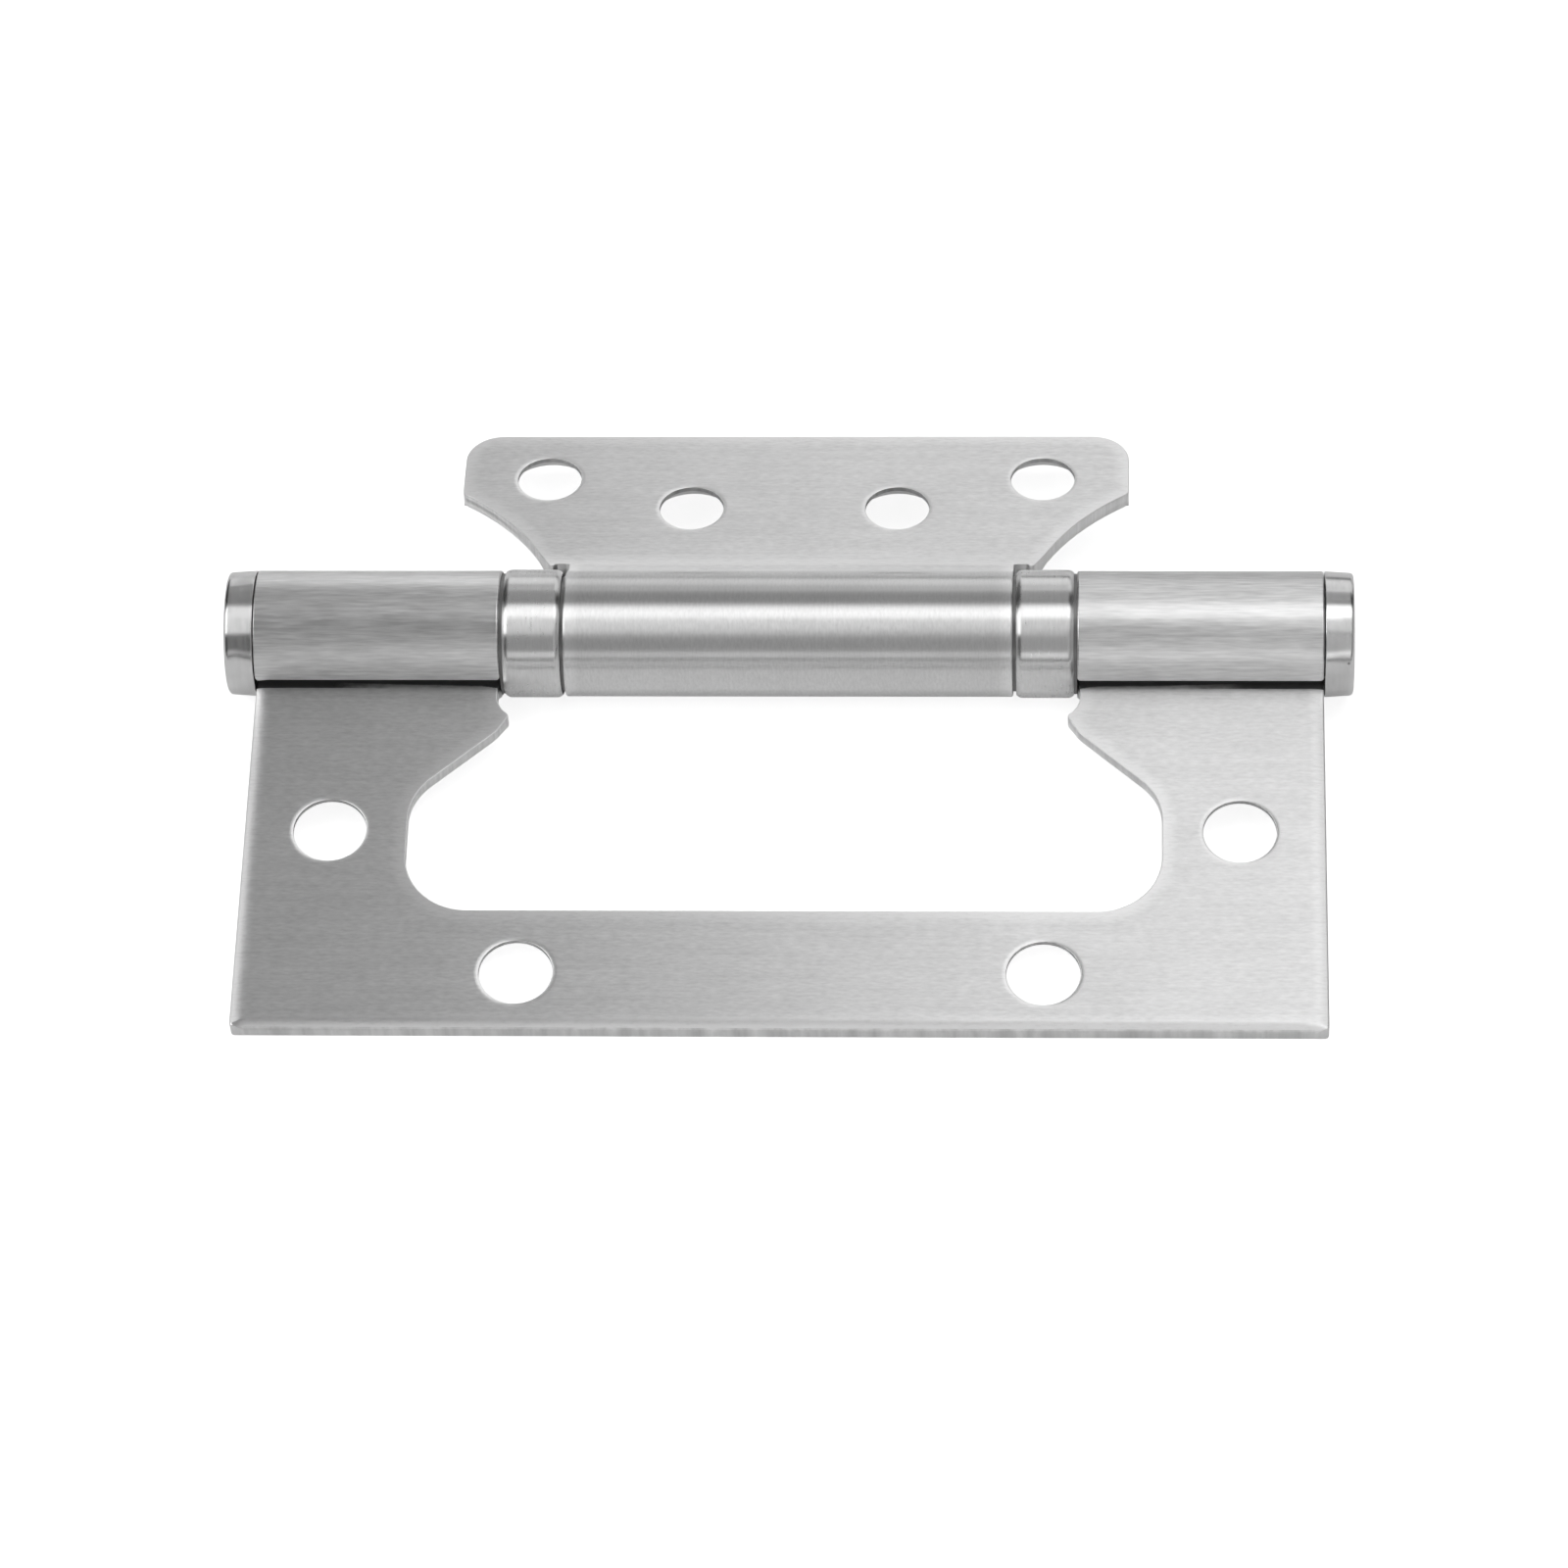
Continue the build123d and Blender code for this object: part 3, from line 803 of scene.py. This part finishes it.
LATHED = {
    "round": True, "seed": 5, "tone": 0.76, "lines": 0.15, "waves": 0.05, "rough": 0.36, "aniso": 0.873,
    "short": 1.8, "c_fine": 0.02, "c_short": 0.17, "c_band": 0.03, "c_blotch": 0.05, "r_short": 0.12,
    "pits": (9.0, 0.05),
}
RING = {
    "round": True, "seed": 9, "tone": 0.78, "lines": 0.04, "waves": 0.03, "rough": 0.3, "aniso": 0.911,
    "short": 0.9, "c_fine": 0.05, "c_short": 0.12, "c_band": 0.04, "c_blotch": 0.05, "r_short": 0.08,
    "pits": (7.0, 0.0),
}
CAP = {
    "round": True, "seed": 12, "tone": 0.76, "lines": 0.1, "waves": 0.12, "rough": 0.25, "aniso": 0.8,
    "short": 0.5, "c_fine": 0.03, "c_short": 0.08, "c_band": 0.05, "c_blotch": 0.18, "r_short": 0.04,
    "pits": (1.5, 0.14),
}


def steel_material(name, look):
    """One kind of steel all over."""
    material, tree, output = new_material(name)
    uv = node(tree, "ShaderNodeUVMap", uv_map=RIBBON).outputs["UV"]
    shader = steel_shader(tree, uv, look)
    tree.links.new(shader.outputs["BSDF"], output.inputs["Surface"])
    return material


def leaf_material(name, flat_look, knuckle_look, change_place, change_length):
    """Steel with one look on the flat and another on the knuckle, changing at a place along the sheet."""
    material, tree, output = new_material(name)
    uv = node(tree, "ShaderNodeUVMap", uv_map=RIBBON).outputs["UV"]
    flat, knuckle = steel_shader(tree, uv, flat_look), steel_shader(tree, uv, knuckle_look)
    place = node(tree, "ShaderNodeSeparateXYZ", [("Vector", uv)]).outputs["X"]
    change = ranged(tree, place, (change_place, change_place + change_length))
    links = [(0, change), (1, knuckle.outputs["BSDF"]), (2, flat.outputs["BSDF"])]
    tree.links.new(node(tree, "ShaderNodeMixShader", links).outputs["Shader"], output.inputs["Surface"])
    return material


def plain_material(name, colour, roughness, metallic):
    """Simple material for the pieces inside, with a faint unevenness."""
    material, tree, output = new_material(name)
    place = node(tree, "ShaderNodeTexCoord").outputs["Object"]
    noise = node(tree, "ShaderNodeTexNoise", [("Vector", place)], [("Scale", 900.0)]).outputs["Fac"]
    rough = spread(tree, noise, roughness - 0.05, roughness + 0.05)
    sockets = [("Base Color", (*colour, 1.0)), ("Metallic", metallic)]
    shader = node(tree, "ShaderNodeBsdfPrincipled", [("Roughness", rough)], sockets)
    tree.links.new(shader.outputs["BSDF"], output.inputs["Surface"])
    return material


# Turned pieces


def revolved(name, profile, radius, segments, material, dents):
    """Turned piece from a profile of (place along the pin, radius), dented, with area-weighted normals."""
    depth, height = axis_place()
    rows = len(profile)
    angles = np.arange(segments) * 2 * math.pi / segments
    vertices, uv = [], []
    length_along = np.concatenate([[0.0], np.cumsum(np.linalg.norm(np.diff(profile, axis=0), axis=1))])
    for angle in angles:
        for (x, r), s in zip(profile, length_along):
            across = radius * (np.remainder(angle - dents[:, 0] + math.pi, 2 * math.pi) - math.pi)
            near = np.exp(-(across**2 + (abs(x) - dents[:, 1]) ** 2) / dents[:, 2] ** 2)
            r -= float((near * dents[:, 3]).sum()) * min(1.0, (r / (DENTED * radius)) ** 8)
            vertices.append((x, depth + r * math.cos(angle), height + r * math.sin(angle)))
            uv.append((angle * radius / MM, s / MM))
    faces = []
    for i in range(segments):
        a, b = i * rows, (i + 1) % segments * rows
        for k in range(rows - 1):
            faces.append((a + k, b + k, b + k + 1, a + k + 1))
    # Painted shade on the cap's inner face, which faces the gap beside the knuckle
    inner = 0 if abs(profile[0][0]) < abs(profile[-1][0]) else rows - 1
    painted_shade = np.tile([1.0 if k == inner else 0.0 for k in range(rows)], segments)
    obj = mesh_object(name, vertices, faces, [(0, 0, 1)] * len(vertices), np.array(uv), painted_shade, material)
    smooth_by_area(obj.data)
    return obj


def smooth_by_area(mesh):
    """Set normals from the faces round each vertex, weighted by their areas."""
    count = len(mesh.polygons)
    area, normal = np.empty(count), np.empty(count * 3)
    mesh.polygons.foreach_get("area", area)
    mesh.polygons.foreach_get("normal", normal)
    weighted = normal.reshape(-1, 3) * area[:, None]
    total = np.zeros((len(mesh.vertices), 3))
    corners = np.empty(len(mesh.loops), int)
    mesh.loops.foreach_get("vertex_index", corners)
    owners = np.repeat(np.arange(count), [len(p.vertices) for p in mesh.polygons])
    np.add.at(total, corners, weighted[owners])
    total /= np.maximum(np.linalg.norm(total, axis=1, keepdims=True), 1e-20)
    mesh.normals_split_custom_set_from_vertices([tuple(n) for n in total])


def ring_nodes():
    """Node group that turns a rounded rectangle into a ring round the pin axis."""
    group = bpy.data.node_groups.new("turned_ring", "GeometryNodeTree")
    inputs = {"Geometry": "Geometry"}
    inputs |= dict.fromkeys(("Bore", "Radius", "Width", "Bevel", "Edge", "Shoulder"), "Float")
    inputs |= {"Segments": "Int", "Centre": "Vector", "Material": "Material"}
    for name, kind in inputs.items():
        group.interface.new_socket(name, in_out="INPUT", socket_type=f"NodeSocket{kind}")
    group.interface.new_socket("Geometry", in_out="OUTPUT", socket_type="NodeSocketGeometry")
    given = node(group, "NodeGroupInput").outputs

    def step(kind, links=(), sockets=(), **fields):
        return node(group, f"GeometryNode{kind}", links, sockets, **fields).outputs[0]

    wall = maths(group, "SUBTRACT", given["Radius"], given["Bore"])
    middle = maths(group, "MULTIPLY", maths(group, "ADD", given["Radius"], given["Bore"]), 0.5)
    shorter = maths(group, "SUBTRACT", given["Width"], maths(group, "MULTIPLY", given["Bevel"], 2.0))
    sizes = [("Height", wall), ("Bottom Width", given["Width"]), ("Top Width", shorter)]
    section = step("CurvePrimitiveQuadrilateral", sizes, [("Offset", 0.0)], mode="TRAPEZOID")
    laid = step("Transform", [("Geometry", section)], [("Rotation", (0.0, 0.0, -math.pi / 2))])
    across = node(group, "ShaderNodeSeparateXYZ", [("Vector", step("InputPosition"))]).outputs["X"]
    shoulder = maths(group, "MULTIPLY", maths(group, "GREATER_THAN", across, 0.0), given["Shoulder"])
    corner = maths(group, "ADD", given["Edge"], shoulder)
    fillet = step("FilletCurve", [("Curve", laid), ("Radius", corner)], [("Count", 6)], mode="POLY")
    path = step("CurvePrimitiveCircle", [("Radius", middle), ("Resolution", given["Segments"])])
    swept = step("CurveToMesh", [("Curve", path), ("Profile Curve", fillet)])
    upright = [("Rotation", (0.0, math.pi / 2, 0.0))]
    turned = step("Transform", [("Geometry", swept), ("Translation", given["Centre"])], upright)
    real = step("RealizeInstances", [("Geometry", step("SetShadeSmooth", [("Geometry", turned)]))])
    painted = step("SetMaterial", [("Geometry", real), ("Material", given["Material"])])
    node(group, "NodeGroupOutput", [("Geometry", painted)])
    return group


def from_nodes(name, group, values):
    """Plain mesh object made by a node group with these inputs."""
    holder = bpy.data.objects.new(name, bpy.data.meshes.new(name))
    bpy.context.scene.collection.objects.link(holder)
    modifier = holder.modifiers.new("nodes", "NODES")
    modifier.node_group = group
    sockets = {i.name: i.identifier for i in group.interface.items_tree if i.in_out == "INPUT"}
    for key, value in values.items():
        modifier[sockets[key]] = value
    holder.update_tag()
    graph = bpy.context.evaluated_depsgraph_get()
    graph.update()
    mesh = bpy.data.meshes.new_from_object(holder.evaluated_get(graph), depsgraph=graph)
    holder.modifiers.clear()
    holder.data = mesh
    return holder


def wrap_map(obj, radius):
    """Grain map for a turned piece: round the pin, then along it, in millimetres."""
    mesh = obj.data
    depth, height = axis_place()
    for layer in list(mesh.uv_layers):
        mesh.uv_layers.remove(layer)
    layer = mesh.uv_layers.new(name=RIBBON)
    for polygon in mesh.polygons:
        places = [mesh.vertices[v].co for v in polygon.vertices]
        angles = [math.atan2(p.z - height, p.y - depth) for p in places]
        if max(angles) - min(angles) > math.pi:
            angles = [a + 2 * math.pi if a < 0 else a for a in angles]
        for corner, angle, place in zip(polygon.loop_indices, angles, places):
            layer.data[corner].uv = (angle * radius / MM, place.x / MM)


def shade_ends(mesh, middle, half):
    """Paint shade on the end faces of a turned piece, which face the gaps beside the knuckles."""
    painted_shade = [1.0 if abs(abs(v.co.x - middle) - half) < 0.01 * MM else 0.0 for v in mesh.vertices]
    mesh.attributes.new("painted_shade", "FLOAT", "POINT").data.foreach_set("value", painted_shade)


# Operators


class HINGE_OT_outer_leaf(bpy.types.Operator):
    """Large leaf with its window, rolled knuckles and rolled-over edges."""

    bl_idname = "hinge.outer_leaf"
    bl_label = "Large leaf"

    def execute(self, context):
        scene = context.scene
        sheet, outer = scene.hinge_sheet, scene.hinge_outer
        ribbon = Ribbon(sheet, outer.foot, outer.roll_end)
        material = leaf_material("steel_outer_leaf", BRUSHED, DRAWN, -6.0, 3.0)
        turn = math.pi + droop(scene)
        loops = outer_loops(scene, ribbon)
        leaf = leaf_mesh("outer_leaf_sheet", sheet, ribbon, *loops, -1, turn, True, material)
        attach(leaf, "frame_side")
        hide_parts("outer_leaf")
        return {"FINISHED"}


class HINGE_OT_inner_leaf(bpy.types.Operator):
    """Small winged leaf with the middle knuckle."""

    bl_idname = "hinge.inner_leaf"
    bl_label = "Small leaf"

    def execute(self, context):
        scene = context.scene
        sheet, inner = scene.hinge_sheet, scene.hinge_inner
        ribbon = Ribbon(sheet, inner.foot, inner.roll_end)
        turn = droop(scene) - math.radians(scene.hinge_studio.fold)
        material = leaf_material("steel_inner_leaf", BRUSHED, LATHED, -ribbon.foot_length / MM - 1.5, 2.5)
        loops = inner_loops(scene, ribbon)
        leaf = leaf_mesh("inner_leaf_sheet", sheet, ribbon, *loops, 1, turn, False, material)
        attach(leaf, "door_side")
        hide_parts("inner_leaf")
        return {"FINISHED"}


class HINGE_OT_rings(bpy.types.Operator):
    """Polished bearing sleeves between the knuckles."""

    bl_idname = "hinge.rings"
    bl_label = "Bearing rings"

    def execute(self, context):
        turned = context.scene.hinge_turned
        depth, height = axis_place()
        group = ring_nodes()
        material = steel_material("steel_ring", RING)
        for side, sign in (("left", -1), ("right", 1)):
            values = {
                "Bore": turned.ring_bore,
                "Radius": turned.ring_radius,
                "Width": turned.ring_width,
                "Bevel": turned.ring_bevel,
                "Edge": turned.ring_edge,
                "Shoulder": turned.ring_shoulder,
                "Segments": turned.segments,
                "Centre": (sign * turned.ring_place, depth, height),
                "Material": material,
            }
            ring = from_nodes(f"{side}_ring", group, values)
            wrap_map(ring, turned.ring_radius)
            shade_ends(ring.data, sign * turned.ring_place, turned.ring_width / 2)
            smooth_by_area(ring.data)
            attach(ring, "frame_side")
            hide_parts(f"{side}_bearing_sleeve")
        return {"FINISHED"}


class HINGE_OT_caps(bpy.types.Operator):
    """Smooth end caps with rounded rims."""

    bl_idname = "hinge.caps"
    bl_label = "End caps"

    def execute(self, context):
        turned = context.scene.hinge_turned
        material = steel_material("steel_cap", CAP)
        end = turned.cap_start + turned.cap_width
        rim = turned.cap_radius - turned.cap_taper
        bevel = turned.cap_inner_edge
        profile = [(turned.cap_start, turned.tenon), (turned.cap_start, turned.cap_radius - bevel * 1.2)]
        profile += arc((turned.cap_start + bevel, turned.cap_radius - bevel), bevel, 180, 90)
        first, last = turned.cap_start + bevel, end - turned.cap_rim
        profile += [tuple(p) for p in np.linspace((first, turned.cap_radius), (last, rim), 15)[1:-1]]
        profile += arc((end - turned.cap_rim, rim - turned.cap_rim), turned.cap_rim, 90, 0)
        profile += [(end, rim - turned.cap_rim * 1.2), (end, rim * 0.5), (end, 0.02 * MM)]
        for side, sign in (("left", -1), ("right", 1)):
            points = np.array([(sign * x, r) for x, r in profile])
            dents = cap_dents(turned, 5 + sign)
            points = points if sign > 0 else points[::-1]
            cap = revolved(f"{side}_cap", points, turned.cap_radius, turned.segments, material, dents)
            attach(cap, "frame_side")
            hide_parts(f"{side}_end_cap")
        return {"FINISHED"}


def cap_dents(turned, seed):
    """Shallow dents round a cap: angle, place along the pin, size in metres and depth."""
    rng = np.random.RandomState(seed)
    count = turned.cap_dents
    angles = rng.uniform(0, 2 * math.pi, count)
    places = turned.cap_start + turned.cap_width * rng.uniform(0, 1, count)
    sizes = rng.uniform(0.5, 1.3, count) * MM
    return np.stack([angles, places, sizes, turned.dent_depth * rng.uniform(0.2, 1, count)], 1)


def arc(centre, radius, first, last):
    """Points on a quarter round of a profile, angles in degrees from the pin's direction."""
    angles = np.radians(np.linspace(first, last, ARC_POINTS + 1))
    return [(centre[0] + radius * math.cos(a), centre[1] + radius * math.sin(a)) for a in angles]


class HINGE_OT_inside(bpy.types.Operator):
    """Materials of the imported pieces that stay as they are: pin, races, cages and balls."""

    bl_idname = "hinge.inside"
    bl_label = "Pin and bearings"

    def execute(self, context):
        ground = plain_material("steel_ground", (0.2, 0.2, 0.2), 0.35, 1.0)
        ball = plain_material("steel_ball", (0.75, 0.75, 0.75), 0.12, 1.0)
        nylon = plain_material("nylon_cage", (0.82, 0.79, 0.72), 0.5, 0.0)
        for name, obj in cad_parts.items():
            kind = nylon if "cage" in name else ball if "_ball_" in name else ground
            obj.data.materials.clear()
            obj.data.materials.append(kind)
        return {"FINISHED"}


# Soft panels of the light tent: strength, then from, to and softness, in degrees over the pin from the front
# horizon to the back one, and again in metres along the pin
PANELS = {
    "front strip": (1.4, (5, 16, 6), (-0.2, 0.32, 0.12)),
    "front fill": (0.55, (12, 54, 8), (-0.2, 0.8, 0.12)),
    "far right": (0.9, (56, 80, 10), (0.04, 0.8, 0.14)),
    "main": (2.1, (80, 105, 10), (-0.06, 0.8, 0.08)),
    "far left": (2.1, (50, 104, 8), (-3.0, -0.4, 0.12)),
    "left fill": (0.4, (96, 150, 6), (-0.4, -0.22, 0.08)),
    "dim band": (0.7, (104, 117, 4), (-0.06, 0.2, 0.1)),
    "back": (0.75, (116, 140, 3), (-0.1, 0.22, 0.12)),
    "far back": (0.8, (138, 172, 8), (-0.14, 0.8, 0.12)),
    "back left": (0.9, (152, 180, 8), (-0.32, -0.06, 0.1)),
}


def soft_span(value, low, high, softness):
    """1 inside a span and 0 outside it, with soft ends."""
    up = np.clip((value - low) / softness + 0.5, 0.0, 1.0)
    down = np.clip((high - value) / softness + 0.5, 0.0, 1.0)
    return (up * down) ** 2 * (3 - 2 * up) * (3 - 2 * down)


def glow_at(angle, x):
    """Glow of the tent at angles in degrees and places along the pin in metres."""
    return sum(k * soft_span(angle, *over) * soft_span(x, *along) for k, over, along in PANELS.values())


class HINGE_OT_studio(bpy.types.Operator):
    """White floor, light tent and camera."""

    bl_idname = "hinge.studio"
    bl_label = "Studio"

    def execute(self, context):
        scene = context.scene
        make_floor(scene)
        make_tent(scene)
        make_camera(scene)
        scene.world = make_world()
        scene.view_settings.view_transform = "Standard"
        return {"FINISHED"}


def make_world():
    """World that is white to the camera and a plain grey to everything else."""
    world = bpy.data.worlds.new("studio")
    world.use_nodes = True
    tree = world.node_tree
    path = node(tree, "ShaderNodeLightPath")
    strength = spread(tree, path.outputs["Is Camera Ray"], WORLD_GREY, 1.0)
    tree.links.new(strength, tree.nodes["Background"].inputs["Strength"])
    tree.nodes["Background"].inputs["Color"].default_value = (1.0, 1.0, 1.0, 1.0)
    return world


def make_floor(scene):
    """Pale floor that shows white to the camera, with soft shadows."""
    mesh = bpy.data.meshes.new("floor")
    size = scene.hinge_studio.tent
    wide = 2.0
    corners = [(-wide, -size, 0), (wide, -size, 0), (wide, size, 0), (-wide, size, 0)]
    mesh.from_pydata(corners, [], [(0, 1, 2, 3)])
    floor = bpy.data.objects.new("floor", mesh)
    scene.collection.objects.link(floor)
    material, tree, output = new_material("floor")
    tone = scene.hinge_studio.floor
    base = node(tree, "ShaderNodeBsdfDiffuse", (), [("Color", (tone, tone, tone, 1.0))])
    other, seen = (node(tree, "ShaderNodeEmission", (), [("Strength", k)]).outputs[0] for k in FLOOR_GLOW)
    path = node(tree, "ShaderNodeLightPath")
    glow = node(tree, "ShaderNodeMixShader", [(0, path.outputs["Is Camera Ray"]), (1, other), (2, seen)])
    both = node(tree, "ShaderNodeAddShader", [(0, base.outputs["BSDF"]), (1, glow.outputs["Shader"])])
    material.cycles.emission_sampling = "NONE"
    tree.links.new(both.outputs["Shader"], output.inputs["Surface"])
    mesh.materials.append(material)
    return floor


def make_tent(scene):
    """Half-round light tent along the pin. Its glow is a vertex attribute, from the panels above."""
    radius = scene.hinge_studio.tent
    angles = np.arange(0, 181, 1.0)
    across = np.concatenate([[-2, -1.2, -0.7], np.linspace(-0.5, 0.5, 81), [0.7, 1.2, 2]])
    degrees, x = (grid.ravel() for grid in np.meshgrid(angles, across, indexing="ij"))
    turn = np.radians(degrees)
    vertices = np.stack([x, -radius * np.cos(turn), radius * np.sin(turn)], 1)
    n = len(across)
    faces = [
        (i * n + k, i * n + k + 1, (i + 1) * n + k + 1, (i + 1) * n + k)
        for i in range(len(angles) - 1)
        for k in range(n - 1)
    ]
    mesh = bpy.data.meshes.new("tent")
    mesh.from_pydata(vertices.tolist(), [], faces)
    mesh.attributes.new("glow", "FLOAT", "POINT").data.foreach_set("value", glow_at(degrees, x))
    tent = bpy.data.objects.new("tent", mesh)
    tent.visible_camera = False
    scene.collection.objects.link(tent)
    material, tree, output = new_material("tent")
    value = node(tree, "ShaderNodeAttribute", attribute_name="glow").outputs["Fac"]
    light = node(tree, "ShaderNodeEmission", [("Strength", value)])
    tree.links.new(light.outputs["Emission"], output.inputs["Surface"])
    material.cycles.emission_sampling = "NONE"
    mesh.materials.append(material)
    return tent


def make_camera(scene):
    """Camera at the photograph's place, given in the large leaf's frame and turned into the hinge's."""
    studio = scene.hinge_studio
    e, a, r = (math.radians(v) for v in (studio.elevation, studio.turn, studio.roll))
    right = Vector((math.cos(a), math.sin(a), 0))
    look = Vector((-math.sin(a) * math.cos(e), math.cos(a) * math.cos(e), -math.sin(e)))
    down = look.cross(right)
    across = math.cos(r) * right + math.sin(r) * down
    lower = -math.sin(r) * right + math.cos(r) * down
    near = studio.distance / studio.focal_px
    u, v = studio.pin_u - PICTURE / 2, studio.pin_v - PICTURE / 2
    place = -(u * near * across + v * near * lower + studio.distance * look)
    spin = Matrix.Rotation(droop(scene), 3, "X")
    depth, height = axis_place()
    axes = Matrix([spin @ across, spin @ -lower, spin @ -look]).transposed()
    camera = bpy.data.cameras.new("camera")
    camera.sensor_width = SENSOR
    camera.lens = studio.focal_px / PICTURE * SENSOR
    camera.clip_start, camera.clip_end = 0.05, 10.0
    obj = bpy.data.objects.new("camera", camera)
    obj.matrix_world = Matrix.Translation(spin @ place + Vector((0, depth, height))) @ axes.to_4x4()
    scene.collection.objects.link(obj)
    scene.camera = obj


STEPS = [
    HINGE_OT_outer_leaf,
    HINGE_OT_inner_leaf,
    HINGE_OT_rings,
    HINGE_OT_caps,
    HINGE_OT_inside,
    HINGE_OT_studio,
]


class HINGE_PT_panel(bpy.types.Panel):
    """Buttons for each piece and the studio, with their settings."""

    bl_label = "Folding door hinge"
    bl_idname = "HINGE_PT_panel"
    bl_space_type = "VIEW_3D"
    bl_region_type = "UI"
    bl_category = "Hinge"

    def draw(self, context):
        for step in STEPS:
            self.layout.operator(step.bl_idname)
        for name, kind in SETTINGS.items():
            box = self.layout.box()
            for key in kind.__annotations__:
                box.prop(getattr(context.scene, name), key, text=key.replace("_", " ").capitalize())


def register():
    """Register the classes and their settings on the scene."""
    for kind in [*SETTINGS.values(), *STEPS, HINGE_PT_panel]:
        bpy.utils.register_class(kind)
    for name, kind in SETTINGS.items():
        setattr(bpy.types.Scene, name, bpy.props.PointerProperty(type=kind))


def unregister():
    """Take the settings and classes away again."""
    for name in SETTINGS:
        delattr(bpy.types.Scene, name)
    for kind in reversed([*SETTINGS.values(), *STEPS, HINGE_PT_panel]):
        bpy.utils.unregister_class(kind)


def main():
    """Build everything in order."""
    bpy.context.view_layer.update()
    register()
    for step in STEPS:
        group, name = step.bl_idname.split(".")
        getattr(getattr(bpy.ops, group), name)()


if __name__ == "__main__":
    main()
